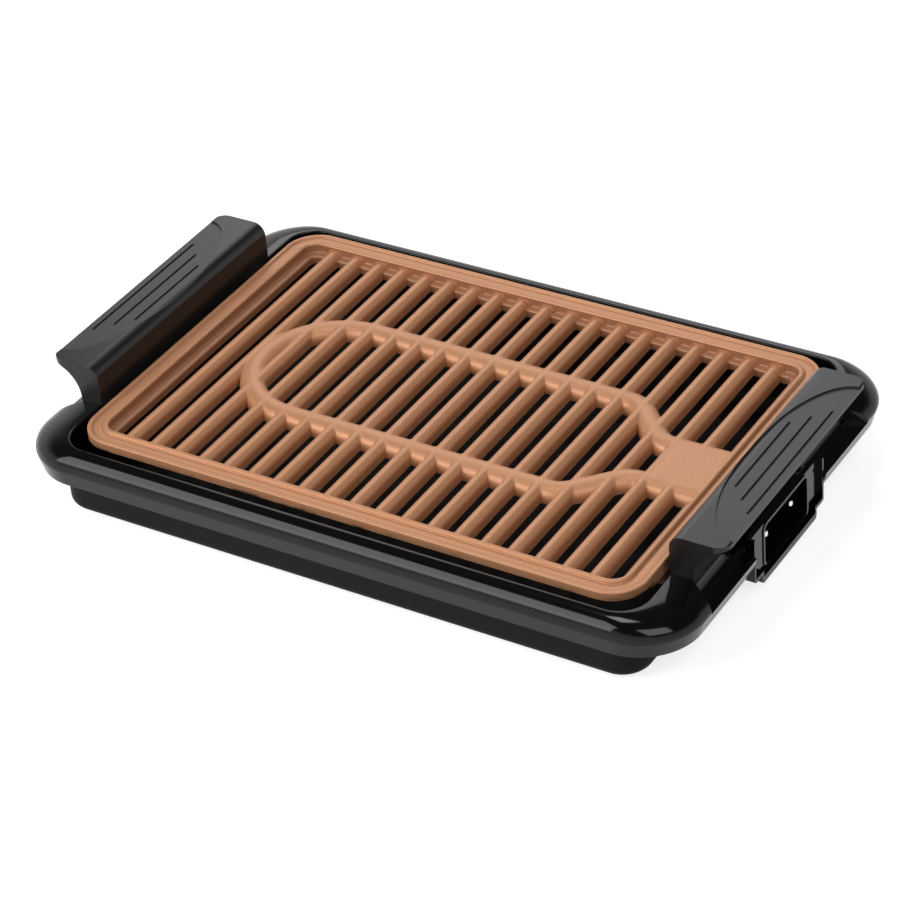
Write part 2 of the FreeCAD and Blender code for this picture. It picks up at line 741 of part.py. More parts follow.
# Cast plate
def rim_outline(sketch, inset):
    """Draw the plate's outline at a distance inwards from its outer edge."""
    return draw_rounded(sketch, size("rim_half_length") - inset, size("rim_half_width") - inset,
                        size("rim_corner") - inset)


def add_rim(plate):
    """Add the stepped rim: outer bead, channel, crest and the ledge that the bars end on."""
    inner, crest = size("rim_inset"), size("rim_inset") - size("crest_width")
    slab = new_sketch(plate, "rim_slab", offset=size("rim_base"))
    rim_outline(slab, Size.of(0.0))
    rim_outline(slab, inner)
    extrude(slab, size("edge_bead_top") - size("rim_base"))
    channel = new_sketch(plate, "rim_channel", offset=size("edge_bead_top"))
    rim_outline(channel, size("edge_bead_width"))
    rim_outline(channel, crest)
    outer = extrude(channel, size("edge_bead_top") - size("channel_floor"), cut=True)
    bead = (Size.of(0.0), size("edge_bead_width"))
    round_edges(outer, size("edge_bead_round"), lambda edge: any(lies_on(
        edge, size("edge_bead_top"), size("rim_half_length") - inset, size("rim_half_width") - inset,
        size("rim_corner") - inset) for inset in bead))
    ridge = new_sketch(plate, "rim_crest", offset=size("rim_base"))
    rim_outline(ridge, crest)
    rim_outline(ridge, inner)
    ridge = extrude(ridge, size("crest_top") - size("rim_base"))
    round_edges(ridge, size("crest_round"), lambda edge: lies_at(edge, size("crest_top")))
    ledge = new_sketch(plate, "rim_ledge", offset=size("bar_base"))
    rim_outline(ledge, crest)
    rim_outline(ledge, inner + size("ledge_width"))
    extrude(ledge, size("rim_base") - size("bar_base"))


def add_bars(plate):
    """Add the bars, each with round ends that stand on the ledge."""
    half, top, base = size("bar_width") / 2, size("bar_top"), size("bar_base")
    first = size("bar_pitch") * (size("bar_count") - 1) / -2
    reach = size("rim_half_width") - size("rim_inset") - size("bar_tip_gap") - half
    section = new_sketch(plate, "bar_section", "XZ_Plane", shift=first)
    draw_outline(section, [(-half, base), (half, base), (half, top - half, half), (0.0, top, half),
                           (-half, top - half)])
    parts = [extrude(section, reach * 2, both_ways=True)]
    for side in SIDE_NAMES:
        tip = new_sketch(plate, f"bar_tip_{SIDE_NAMES[side]}", "XZ_Plane", -reach * side, first)
        draw_outline(tip, [(0.0, base), (half, base), (half, top - half, half), (0.0, top)])
        turned = plate.newObject("PartDesign::Revolution", f"bar_end_{SIDE_NAMES[side]}")
        turned.Profile = tip
        turned.ReferenceAxis = (tip, ["V_Axis"])
        turned.Angle = 180.0
        turned.Reversed = side == FRONT_SIDE
        parts.append(turned)
    pattern = plate.newObject("PartDesign::LinearPattern", "bar_row")
    pattern.Originals = parts
    pattern.Direction = (next(item for item in plate.Origin.OriginFeatures if item.Role == "X_Axis"), [""])
    bind(pattern, Length=size("bar_pitch") * (size("bar_count") - 1), Occurrences=size("bar_count"))
    plate.Tip = pattern


def loop_route():
    """Return the loop's centre line in plan from the pad round to the pad again."""
    gap, narrow, end = size("loop_half_gap"), size("neck_half_gap"), size("pad_end_x")
    start, finish = size("neck_start_x"), size("neck_end_x")
    run, swing = finish - start, gap - narrow
    bend = (run * run + swing * swing) / (swing * 4)
    middle_x, middle_y = (start + finish) / 2, (gap + narrow) / 2
    turn = size("loop_turn_x")
    return [
        (end, narrow), (finish, narrow, -bend), (middle_x, middle_y, bend), (start, gap),
        (turn, gap, gap), (turn - gap, 0.0, gap), (turn, -gap), (start, -gap, bend),
        (middle_x, -middle_y, -bend), (finish, -narrow), (end, -narrow)]


def add_loop(plate):
    """Add the round bulge over the heating element and the pad between its ends."""
    half, base, top = size("loop_width") / 2, size("bar_base"), size("loop_top")
    route = draw_outline(new_sketch(plate, "loop_route", offset=base), loop_route(), closed=False)
    section = new_sketch(plate, "loop_section", "YZ_Plane", size("pad_end_x"))
    middle = size("neck_half_gap")
    draw_outline(section, [(middle - half, base), (middle + half, base),
                           (middle + half, top - half, half), (middle, top, half),
                           (middle - half, top - half)])
    bulge = plate.newObject("PartDesign::AdditivePipe", "loop_bulge")
    bulge.Profile = section
    bulge.Spine = (route, [])
    bulge.Mode = "Binormal"
    bulge.Binormal = Vector(0, 0, 1)
    pad = new_sketch(plate, "pad", offset=base)
    start, end = size("pad_start_x"), size("pad_end_x")
    draw_outline(pad, [(start, -middle), (end, -middle), (end, middle), (start, middle)])
    extrude(pad, size("pad_top") - base)


def add_lugs(plate):
    """Add the four lugs, round underneath, that stand on the frame's brackets."""
    radius, centre, top = size("lug_radius"), size("lug_height"), size("rim_base") + 1
    for end in END_NAMES:
        for side in SIDE_NAMES:
            lug = new_sketch(plate, f"lug_{SIDE_NAMES[side]}_{END_NAMES[end]}", "XZ_Plane",
                             size("lug_y") * -side)
            middle = size("lug_x") * end
            left, right = middle - radius, middle + radius
            draw_outline(lug, [(left, top), (left, centre, radius), (middle, centre - radius, radius),
                               (right, centre), (right, top)])
            extrude(lug, size("lug_length"), both_ways=True)


def make_grill_plate(element):
    """Make the casting, with a channel for the element and holes for the terminal bracket's screws."""
    plate = new_body("plate_casting")
    add_rim(plate)
    add_bars(plate)
    add_loop(plate)
    add_lugs(plate)
    tools = [element]
    for side in SIDE_NAMES:
        tools.append(cylinder(f"terminal_drill_{SIDE_NAMES[side]}", size("terminal_screw_radius"),
                              size("terminal_screw_depth"), size("terminal_screw_x"),
                              size("terminal_screw_y") * side, size("bar_base")))
    casting = plate
    for number, tool in enumerate(tools, start=1):
        casting = cut("grill_plate" if number == len(tools) else f"casting_{number}", casting, tool)
    return casting


# Heating element and terminals
def make_heating_element():
    """Sweep the sheath along the loop and down to the terminals at both ends."""
    flat, low = size("element_height").value, size("pin_height").value
    gap, narrow = size("loop_half_gap").value, size("neck_half_gap").value
    start, finish = size("neck_start_x").value, size("neck_end_x").value
    drop, end = size("element_drop_x").value, size("element_end_x").value
    foot = end - size("element_straight").value
    pins, turn = size("pin_half_gap").value, size("loop_turn_x").value

    def s_bend(first, last):
        """Return two equal tangent arcs between points whose tangents are both along X."""
        middle = (first + last) / 2
        aside = Vector(0, last.y - first.y, last.z - first.z)
        run, swing = last.x - first.x, aside.Length
        aside.normalize()
        bend = (run * run + swing * swing) / (4 * swing)
        angle = math.asin(abs(run) / 2 / bend) / 2
        along = Vector(math.copysign(1, run), 0, 0)
        reach = along * bend * math.sin(angle) + aside * bend * (1 - math.cos(angle))
        return [Part.Arc(first, first + reach, middle), Part.Arc(middle, last - reach, last)]

    def half(sign):
        """Return one side of the route, from the turn to the terminal."""
        points = [Vector(turn, gap * sign, flat), Vector(start, gap * sign, flat),
                  Vector(finish, narrow * sign, flat), Vector(drop, narrow * sign, flat),
                  Vector(foot, pins * sign, low), Vector(end, pins * sign, low)]
        return [Part.LineSegment(points[0], points[1]), *s_bend(points[1], points[2]),
                Part.LineSegment(points[2], points[3]), *s_bend(points[3], points[4]),
                Part.LineSegment(points[4], points[5])]

    around = Part.Arc(Vector(turn, gap, flat), Vector(turn - gap, 0, flat), Vector(turn, -gap, flat))
    edges = [curve.toShape() for curve in half(1)[::-1] + [around] + half(-1)]
    route = doc.addObject("Part::Feature", "element_route")
    route.Shape = Part.Wire(Part.__sortEdges__(edges))
    section = bind(doc.addObject("Part::Circle", "element_section"), Radius=size("element_radius"))
    place(section, size("element_end_x"), size("pin_half_gap"), size("pin_height"),
          Rotation(Vector(0, 0, 1), Vector(1, 0, 0)))
    sweep = doc.addObject("Part::Sweep", "heating_element")
    sweep.Label = "heating_element"
    sweep.Sections = [section]
    sweep.Spine = (route, [f"Edge{index + 1}" for index in range(len(edges))])
    sweep.Solid = True
    return sweep


def make_terminal(side):
    """Make one terminal: a ceramic bush and the pin whose thinner shank goes through it."""
    name, along = SIDE_NAMES[side], Vector(1, 0, 0)
    y, z = size("pin_half_gap") * side, size("pin_height")
    start, end = size("element_end_x"), size("insulator_end_x")
    bush = cylinder(f"bush_{name}", size("insulator_radius"), end - start, start, y, z, along)
    bore = cylinder(f"bush_bore_{name}", size("pin_shank_radius"), end - start, start, y, z, along)
    shank = cylinder(f"pin_shank_{name}", size("pin_shank_radius"), end - start, start, y, z, along)
    blank = cylinder(f"pin_blank_{name}", size("pin_radius"), size("pin_tip_x") - end, end, y, z, along)
    tip = size("pin_tip_x").value
    free_end = soften(f"pin_free_end_{name}", blank, size("pin_tip_round"),
                      lambda edge: edge.BoundBox.XMin > tip - 0.01)
    return [cut(f"insulator_{name}", bush, bore), fuse(f"terminal_pin_{name}", [shank, free_end])]


def make_probe_sleeve():
    """Make the open tube between the pins."""
    start, along = size("probe_start_x"), Vector(1, 0, 0)
    length = size("probe_end_x") - start
    tube = cylinder("probe_tube", size("probe_outer_radius"), length, start, 0.0, size("pin_height"), along)
    bore = cylinder("probe_bore", size("probe_inner_radius"), length, start, 0.0, size("pin_height"), along)
    return cut("probe_sleeve", tube, bore)


def make_terminal_bracket():
    """Make the angle bracket under the pad that carries the bushes and the probe sleeve."""
    x, thick, half = size("terminal_plate_x"), size("terminal_plate_thick"), size("terminal_plate_half_width")
    base, top, along = size("terminal_plate_base"), size("bar_base"), Vector(1, 0, 0)
    upright = box("terminal_upright", (x, -half, base), (thick, half * 2, top - base))
    flange_x, narrow = size("terminal_flange_start_x"), size("terminal_flange_half_width")
    flange = box("terminal_flange", (flange_x, -narrow, top - thick), (x - flange_x, narrow * 2, thick))
    height = size("pin_height")
    drills = [cylinder("probe_drill", size("probe_outer_radius"), OVERCUT, x - 1, 0.0, height, along)]
    for side in SIDE_NAMES:
        drills.append(cylinder(f"bush_drill_{SIDE_NAMES[side]}", size("insulator_radius"), OVERCUT, x - 1,
                               size("pin_half_gap") * side, height, along))
        drills.append(cylinder(f"flange_drill_{SIDE_NAMES[side]}", size("terminal_screw_radius"), thick * 2,
                               size("terminal_screw_x"), size("terminal_screw_y") * side, top - thick * 1.5))
    return cut("terminal_bracket", fuse("terminal_blank", [upright, flange]), fuse("terminal_drills", drills))


def make_terminal_bracket_screws():
    """Make the two screws that hold the terminal bracket under the pad."""
    under = size("bar_base") - size("terminal_plate_thick")
    shank = (size("terminal_screw_radius"), size("terminal_plate_thick") + size("terminal_screw_depth"))
    head = (size("terminal_screw_head_radius"), size("terminal_screw_head"))
    return group("terminal_bracket_screws", [
        headed_screw(f"terminal_screw_{SIDE_NAMES[side]}",
                     (size("terminal_screw_x"), size("terminal_screw_y") * side, under), Vector(0, 0, 1),
                     shank, head)
        for side in SIDE_NAMES])


def make_nodes():
    """Make every sub-part and return them."""
    nodes = [make_drip_pan(), make_brim_frame(), make_socket_surround()]
    for end in END_NAMES:
        nodes += [make_handle(end), make_handle_screws(end)]
        for side in SIDE_NAMES:
            nodes += [make_foot(end, side), make_rest_bracket(end, side)]
    nodes.append(make_rest_bracket_screws())
    element = make_heating_element()
    nodes += [make_grill_plate(element), element, make_probe_sleeve()]
    nodes += [make_terminal_bracket(), make_terminal_bracket_screws()]
    for side in SIDE_NAMES:
        nodes += make_terminal(side)
    return nodes


def write(nodes):
    """Check every object and write each sub-part to its own file."""
    doc.recompute()
    failed = [item.Name for item in doc.Objects if {"Invalid", "Error"} & set(item.State)]
    failed += [node.Label for node in nodes if node.Shape.isNull() or not node.Shape.isValid()]
    if failed:
        raise RuntimeError(f"failed: {failed}")
    os.makedirs("parts", exist_ok=True)
    for node in nodes:
        node.Shape.exportStep(f"parts/{node.Label}.step")
        print(f"{node.Label}: {len(node.Shape.Solids)} solids, {node.Shape.Volume:.0f} mm3")


write(make_nodes())
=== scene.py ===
"""Looks of a low indoor electric grill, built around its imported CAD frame.

The grill's sizes are in millimetres and its heights are above the counter; MM turns both into metres.
The studio's sizes are in metres. +X is the end with the power inlet, +Y the back and +Z up, as in the frame.
"""

import json
import logging
import math
from dataclasses import dataclass, field
from enum import Enum
from functools import cache

import bmesh
import bpy
import numpy as np
from mathutils import Matrix, Vector


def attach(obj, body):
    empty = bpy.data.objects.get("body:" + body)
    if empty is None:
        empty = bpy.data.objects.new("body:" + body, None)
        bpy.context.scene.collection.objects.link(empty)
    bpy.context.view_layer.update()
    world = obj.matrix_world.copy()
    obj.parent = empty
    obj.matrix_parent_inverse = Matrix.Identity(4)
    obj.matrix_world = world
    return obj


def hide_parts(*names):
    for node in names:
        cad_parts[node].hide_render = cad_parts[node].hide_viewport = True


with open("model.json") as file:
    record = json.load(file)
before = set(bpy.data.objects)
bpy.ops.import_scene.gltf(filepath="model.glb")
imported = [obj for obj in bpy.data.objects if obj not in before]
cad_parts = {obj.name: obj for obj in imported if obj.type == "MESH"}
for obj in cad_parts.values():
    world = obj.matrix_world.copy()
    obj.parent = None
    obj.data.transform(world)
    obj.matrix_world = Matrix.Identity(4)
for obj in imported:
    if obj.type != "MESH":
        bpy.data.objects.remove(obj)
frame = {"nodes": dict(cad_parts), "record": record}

MM = 0.001
MERGE_DISTANCE = 0.002
SLIVER = 0.001
SMOOTH_ANGLE = 40.0
BEVEL_ANGLE = 35.0
BEVEL_SEGMENTS = 2
FACE_WEIGHT = 100
WHITE = (1.0, 1.0, 1.0)
NUMBER = "NodeSocketFloat"
COLOUR = "NodeSocketColor"
VECTOR = "NodeSocketVector"
Colour = tuple[float, float, float]
Point2 = tuple[float, float]
Point3 = tuple[float, float, float]
Pair = tuple[float, float]
Triple = tuple[float, float, float]

logging.basicConfig(level=logging.INFO, format="%(name)s: %(message)s")
log = logging.getLogger("grill")


class Body(Enum):
    """Bodies of the frame that new pieces ride on."""

    FRAME = "frame"
    PLATE = "plate"


class Slot(Enum):
    """Material slots of the record."""

    COPPER = "plate_copper"
    GLOSS = "frame_gloss"
    HANDLE = "handle_plastic"
    PAN = "pan_plastic"
    RUBBER = "foot_rubber"
    STEEL = "steel"
    SHEATH = "element_sheath"
    CERAMIC = "ceramic"
    PLATING = "pin_plating"


class End(Enum):
    """Short ends of the grill, by their side of the Y axis."""

    LEFT = -1
    RIGHT = 1

    @property
    def word(self) -> str:
        """Name of the end inside node names."""
        return self.name.lower()


class NodeKit:
    """Adds and links nodes of one node tree."""

    def __init__(self, tree: bpy.types.NodeTree) -> None:
        """Keep the tree that nodes are added to."""
        self.tree = tree

    def add(self, kind: str, **inputs: object) -> bpy.types.Node:
        """Add a node of a type and fill its inputs, named with underscores for spaces."""
        return self.fill(self.tree.nodes.new(kind), inputs)

    def group(self, tree: bpy.types.NodeTree, **inputs: object) -> bpy.types.Node:
        """Add a shader group.

        Args:
            tree: The group.
            inputs: Values or output sockets by input name, with underscores for spaces.

        Returns:
            The new node.
        """
        node = self.tree.nodes.new("ShaderNodeGroup")
        node.node_tree = tree
        return self.fill(node, inputs)

    def fill(self, node: bpy.types.Node, inputs: dict[str, object]) -> bpy.types.Node:
        """Fill a node's inputs.

        Args:
            node: The node.
            inputs: Values or output sockets by input name, with underscores for spaces.

        Returns:
            The same node.
        """
        for name, value in inputs.items():
            self.feed(node.inputs[name.replace("_", " ")], value)
        return node

    def feed(self, socket: bpy.types.NodeSocket, value: object) -> None:
        """Link an output socket to an input, or set the input's value.

        Args:
            socket: The input.
            value: An output socket, or a plain value.
        """
        if isinstance(value, bpy.types.NodeSocket):
            self.tree.links.new(value, socket)
        else:
            socket.default_value = value

    def maths(self, operation: str, *values: object) -> bpy.types.NodeSocket:
        """Add a scalar operation.

        Args:
            operation: The operation's name.
            values: Its values or output sockets, in order.

        Returns:
            The result.
        """
        node = self.tree.nodes.new("ShaderNodeMath")
        node.operation = operation
        for socket, value in zip(node.inputs, values):
            self.feed(socket, value)
        return node.outputs[0]

    def mix(self, share: object, first: object, second: object) -> bpy.types.NodeSocket:
        """Mix two colours.

        Args:
            share: How much of the second colour there is, from 0 to 1.
            first: The first colour.
            second: The second colour.

        Returns:
            The mixed colour.
        """
        node = self.tree.nodes.new("ShaderNodeMix")
        node.data_type = "RGBA"
        self.feed(node.inputs["Factor"], share)
        self.feed(node.inputs[6], first)
        self.feed(node.inputs[7], second)
        return node.outputs[2]

    def ramp(self, value: object, low: float, high: float) -> bpy.types.NodeSocket:
        """Map a value smoothly to 0..1.

        Args:
            value: The value.
            low: Where the result is 0.
            high: Where the result is 1.

        Returns:
            The mapped value.
        """
        node = self.add("ShaderNodeMapRange", Value=value, From_Min=low, From_Max=high)
        node.interpolation_type = "SMOOTHSTEP"
        return node.outputs["Result"]

    def place(self) -> bpy.types.NodeSocket:
        """Return the shaded point in object coordinates."""
        return self.add("ShaderNodeTexCoord").outputs["Object"]

    def noise(self, place: object, scale: object, detail: float) -> bpy.types.NodeSocket:
        """Return the value of noise at a place."""
        return self.add("ShaderNodeTexNoise", Vector=place, Scale=scale, Detail=detail).outputs["Fac"]

    def stretched(self, vector: object, factors: Triple) -> bpy.types.NodeSocket:
        """Multiply a vector by a factor for each axis.

        Args:
            vector: The vector.
            factors: The factors for X, Y and Z.

        Returns:
            The stretched vector.
        """
        node = self.tree.nodes.new("ShaderNodeVectorMath")
        node.operation = "MULTIPLY"
        self.feed(node.inputs[0], vector)
        self.feed(node.inputs[1], factors)
        return node.outputs[0]

    def attribute(self, name: str) -> bpy.types.NodeSocket:
        """Read a mesh attribute.

        Args:
            name: The attribute's name.

        Returns:
            Its value at the shaded point.
        """
        node = self.tree.nodes.new("ShaderNodeAttribute")
        node.attribute_name = name
        return node.outputs["Fac"]


Started = tuple[NodeKit, dict[str, bpy.types.NodeSocket], bpy.types.Node]


def start_group(name: str, kind: str, inputs: dict[str, str], outputs: dict[str, str]) -> Started:
    """Make an empty node group with named sockets.

    Args:
        name: The group's name.
        kind: The type of its tree.
        inputs: Socket types by input name.
        outputs: Socket types by output name.

    Returns:
        The group's kit, its input values by name, and its output node.
    """
    tree = bpy.data.node_groups.new(name, kind)
    for way, sockets in (("INPUT", inputs), ("OUTPUT", outputs)):
        for socket, socket_type in sockets.items():
            tree.interface.new_socket(socket, in_out=way, socket_type=socket_type)
    kit = NodeKit(tree)
    entry = kit.add("NodeGroupInput")
    return kit, {socket: entry.outputs[socket] for socket in inputs}, kit.add("NodeGroupOutput")


def rgba(colour: Colour) -> tuple[float, float, float, float]:
    """Return a colour with full alpha."""
    return (*colour, 1.0)


class ShaderGroups:
    """Node groups that the finishes share. Each is made once."""

    kind = "ShaderNodeTree"
    grain_strength = 0.35
    cloud_scale = 26.0
    fleck_scale = 2600.0
    fleck_range = (0.52, 0.72)
    drift_scale = 34.0
    drift_share = 0.5
    streak_stretch = (60.0, 60.0, 260.0)
    streak_range = (0.5, 0.66)
    drawn_stretch = (60.0, 1800.0, 1800.0)
    drawn_strength = 0.3

    @classmethod
    @cache
    def grain(cls) -> bpy.types.NodeTree:
        """Make the fine moulded grain: a bump normal and a cloudy value.

        Returns:
            The group.
        """
        kit, io, out = start_group("Grain", cls.kind, {"Scale": NUMBER, "Depth": NUMBER},
                                   {"Normal": VECTOR, "Cloud": NUMBER})
        place = kit.place()
        fine = kit.noise(place, io["Scale"], 2.0)
        bump = kit.add("ShaderNodeBump", Strength=cls.grain_strength, Distance=io["Depth"], Height=fine)
        kit.fill(out, {"Normal": bump.outputs["Normal"], "Cloud": kit.noise(place, cls.cloud_scale, 3.0)})
        return kit.tree

    @classmethod
    @cache
    def speckle(cls) -> bpy.types.NodeTree:
        """Make the metal-flake speckle: two colours mixed by very fine noise and slow clouds.

        Returns:
            The group.
        """
        kit, io, out = start_group("Speckle", cls.kind, {"Base": COLOUR, "Fleck": COLOUR, "Amount": NUMBER},
                                   {"Colour": COLOUR})
        place = kit.place()
        fleck = kit.ramp(kit.noise(place, cls.fleck_scale, 1.0), *cls.fleck_range)
        slow = kit.noise(place, cls.drift_scale, 3.0)
        drift = kit.maths("MULTIPLY_ADD", slow, cls.drift_share, 1.0 - cls.drift_share)
        share = kit.maths("MULTIPLY", kit.maths("MULTIPLY", fleck, drift), io["Amount"])
        kit.fill(out, {"Colour": kit.mix(share, io["Base"], io["Fleck"])})
        return kit.tree

    @classmethod
    @cache
    def scrape(cls) -> bpy.types.NodeTree:
        """Make worn streaks just above a height: a mask from height and streaky noise.

        Returns:
            The group.
        """
        kit, io, out = start_group("Scrape", cls.kind, {"Foot": NUMBER, "Reach": NUMBER}, {"Mask": NUMBER})
        place = kit.place()
        height = kit.add("ShaderNodeSeparateXYZ", Vector=place).outputs["Z"]
        streak = kit.noise(kit.stretched(place, cls.streak_stretch), 1.0, 4.0)
        rise = kit.maths("DIVIDE", kit.maths("SUBTRACT", height, io["Foot"]), io["Reach"])
        near = kit.maths("SUBTRACT", 1.0, kit.ramp(rise, 0.0, 1.0))
        kit.fill(out, {"Mask": kit.maths("MULTIPLY", near, kit.ramp(streak, *cls.streak_range))})
        return kit.tree

    @classmethod
    @cache
    def leaf(cls) -> bpy.types.NodeTree:
        """Make the handles' leaf: a mask inside half an ellipse on both outer edges, above a height.

        Returns:
            The group.
        """
        inputs = {name: NUMBER for name in ("Depth", "Half Length", "Edge", "Floor")}
        kit, io, out = start_group("Leaf", cls.kind, inputs, {"Mask": NUMBER})
        apart = kit.add("ShaderNodeSeparateXYZ", Vector=kit.place())
        inward = kit.maths("SUBTRACT", io["Edge"], kit.maths("ABSOLUTE", apart.outputs["X"]))
        across = kit.maths("POWER", kit.maths("DIVIDE", inward, io["Depth"]), 2.0)
        length = kit.maths("ABSOLUTE", kit.maths("DIVIDE", apart.outputs["Y"], io["Half Length"]))
        along = kit.maths("POWER", length, 2.0)
        inside = kit.maths("LESS_THAN", kit.maths("ADD", across, along), 1.0)
        above = kit.maths("GREATER_THAN", apart.outputs["Z"], io["Floor"])
        kit.fill(out, {"Mask": kit.maths("MULTIPLY", inside, above)})
        return kit.tree

    @classmethod
    @cache
    def brushed(cls) -> bpy.types.NodeTree:
        """Make drawn metal: a bump normal from noise stretched along X.

        Returns:
            The group.
        """
        kit, io, out = start_group("Brushed", cls.kind, {"Depth": NUMBER}, {"Normal": VECTOR})
        noise = kit.noise(kit.stretched(kit.place(), cls.drawn_stretch), 1.0, 2.0)
        bump = kit.add("ShaderNodeBump", Strength=cls.drawn_strength, Distance=io["Depth"], Height=noise)
        kit.fill(out, {"Normal": bump.outputs["Normal"]})
        return kit.tree


@dataclass(frozen=True)
class Finish:
    """A plain surface: plastic, rubber or ceramic with a fine grain. Its depth is in metres."""

    slot: Slot
    colour: Colour
    roughness: float
    grain: float = 1500.0
    depth: float = 0.00002
    cloud: float = 0.12
    specular: float = 0.5

    @property
    def darker(self) -> Colour:
        """The colour where the clouds are darkest."""
        return tuple(part * (1.0 - self.cloud) for part in self.colour)

    def material(self) -> bpy.types.Material:
        """Make the finish's material.

        Returns:
            The material, dressed.
        """
        material = bpy.data.materials.new(f"look_{self.slot.value}")
        material.use_nodes = True
        shader = material.node_tree.nodes["Principled BSDF"]
        shader.inputs["Roughness"].default_value = self.roughness
        shader.inputs["Specular IOR Level"].default_value = self.specular
        self.dress(NodeKit(material.node_tree), shader)
        return material

    def dress(self, kit: NodeKit, shader: bpy.types.Node) -> None:
        """Give the shader the finish's clouded colour and its grain.

        Args:
            kit: The material's kit.
            shader: Its Principled BSDF.
        """
        cloud = self.grained(kit, shader)
        kit.feed(shader.inputs["Base Color"], kit.mix(cloud, rgba(self.darker), rgba(self.colour)))

    def grained(self, kit: NodeKit, shader: bpy.types.Node) -> bpy.types.NodeSocket:
        """Give the shader the finish's grain.

        Args:
            kit: The material's kit.
            shader: Its Principled BSDF.

        Returns:
            The grain's cloudy value.
        """
        grain = kit.group(ShaderGroups.grain(), Scale=self.grain, Depth=self.depth)
        kit.feed(shader.inputs["Normal"], grain.outputs["Normal"])
        return grain.outputs["Cloud"]


@dataclass(frozen=True)
class Metal(Finish):
    """Bare metal with a drawn grain."""

    def dress(self, kit: NodeKit, shader: bpy.types.Node) -> None:
        """Give the shader the metal's colour and drawn grain.

        Args:
            kit: The material's kit.
            shader: Its Principled BSDF.
        """
        brushed = kit.group(ShaderGroups.brushed(), Depth=self.depth)
        normal = brushed.outputs["Normal"]
        kit.fill(shader, {"Metallic": 1.0, "Base Color": rgba(self.colour), "Normal": normal})


@dataclass(frozen=True)
class CopperCoat(Finish):
    """Copper-coloured coating on the casting: flakes, soft sheen, worn streaks at its foot, and painted shade
    on the rim's inner wall and channel lines.
    """

    fleck: Colour = (0.82, 0.53, 0.36)
    fleck_amount: float = 0.4
    worn: Colour = (0.10, 0.052, 0.03)
    # Painted shade: a darker brown laid where the recess attribute marks the rim's inner wall and channel
    # lines, and how much of it.
    deep: Colour = (0.27, 0.125, 0.07)
    deep_share: float = 0.55
    metallic: float = 0.3
    scrape_foot: float = 42.0
    scrape_reach: float = 2.4

    def dress(self, kit: NodeKit, shader: bpy.types.Node) -> None:
        """Give the shader the coating's flakes, painted shade on the rim's inner wall and channel lines, worn
        streaks and grain.

        Args:
            kit: The material's kit.
            shader: Its Principled BSDF.
        """
        speckle = kit.group(ShaderGroups.speckle(), Base=rgba(self.colour), Fleck=rgba(self.fleck),
                            Amount=self.fleck_amount)
        scrape = kit.group(ShaderGroups.scrape(), Foot=self.scrape_foot * MM, Reach=self.scrape_reach * MM)
        worn = kit.maths("MULTIPLY", scrape.outputs["Mask"], kit.attribute("outer_wall"))
        # Painted shade: darken the coating towards the shade colour where the recess attribute marks the
        # rim's inner wall and channel lines.
        deep = kit.maths("MULTIPLY", kit.attribute("recess"), self.deep_share)
        colour = kit.mix(deep, speckle.outputs["Colour"], rgba(self.deep))
        colour = kit.mix(worn, colour, rgba(self.worn))
        kit.fill(shader, {"Metallic": self.metallic, "Base Color": colour})
        self.grained(kit, shader)


@dataclass(frozen=True)
class HandlePlastic(Finish):
    """Handle plastic: polished, with a matter leaf on top whose paler colour is partly its own textured tone
    and partly painted light for its tilted surface.
    """

    # Partly painted light: the leaf's paler colour stands in for the different light on its tilted surface as
    # well as its textured tone.
    leaf_colour: Colour = (0.042, 0.041, 0.041)
    leaf_roughness: float = 0.36
    leaf_half: Pair = (30.0, 77.0)
    leaf_edge: float = 215.0
    leaf_floor: float = 60.0

    def dress(self, kit: NodeKit, shader: bpy.types.Node) -> None:
        """Give the shader the plastic's colour and grain, and the leaf's roughness and paler colour, which is
        partly painted light.

        Args:
            kit: The material's kit.
            shader: Its Principled BSDF.
        """
        depth, length = self.leaf_half
        leaf = kit.group(ShaderGroups.leaf(), Depth=depth * MM, Half_Length=length * MM,
                         Edge=self.leaf_edge * MM, Floor=self.leaf_floor * MM)
        mask = leaf.outputs["Mask"]
        cloud = self.grained(kit, shader)
        # Partly painted light: the leaf's mask lays its paler colour, which also stands for the light on its
        # tilted surface.
        colour = kit.mix(mask, rgba(self.colour), rgba(self.leaf_colour))
        share = kit.maths("MULTIPLY", kit.maths("SUBTRACT", 1.0, mask), cloud)
        kit.feed(shader.inputs["Base Color"], kit.mix(share, colour, rgba(self.darker)))
        gain = kit.maths("MULTIPLY", mask, self.leaf_roughness - self.roughness)
        kit.feed(shader.inputs["Roughness"], kit.maths("ADD", gain, self.roughness))


FINISHES: tuple[Finish, ...] = (
    CopperCoat(Slot.COPPER, (0.56, 0.262, 0.127), 0.46, grain=2200.0, depth=0.00003),
    Finish(Slot.GLOSS, (0.004, 0.004, 0.0044), 0.1, depth=0.0, specular=0.3),
    HandlePlastic(Slot.HANDLE, (0.016, 0.0155, 0.0155), 0.27, grain=2400.0, depth=0.00003, specular=0.3),
    Finish(Slot.PAN, (0.012, 0.012, 0.0125), 0.6, depth=0.00004, specular=0.1),
    Finish(Slot.RUBBER, (0.02, 0.02, 0.02), 0.8, depth=0.00005),
    Metal(Slot.STEEL, (0.56, 0.56, 0.57), 0.32),
    Metal(Slot.SHEATH, (0.30, 0.28, 0.27), 0.42),
    Finish(Slot.CERAMIC, (0.83, 0.80, 0.73), 0.3),
    Metal(Slot.PLATING, (0.86, 0.86, 0.87), 0.16),
)


class Looks:
    """Materials by slot, and the CAD nodes that wear them."""

    def __init__(self) -> None:
        """Make every finish's material."""
        self.materials = {finish.slot: finish.material() for finish in FINISHES}

    def dress(self) -> None:
        """Put each CAD node's finish on its material slots."""
        slots = {part["node"]: Slot(part["material_slot"]) for part in frame["record"]["subparts"]}
        for name, node in frame["nodes"].items():
            for index in range(len(node.data.materials)):
                node.data.materials[index] = self.materials[slots[name]]
            log.info("dressed %s", name)


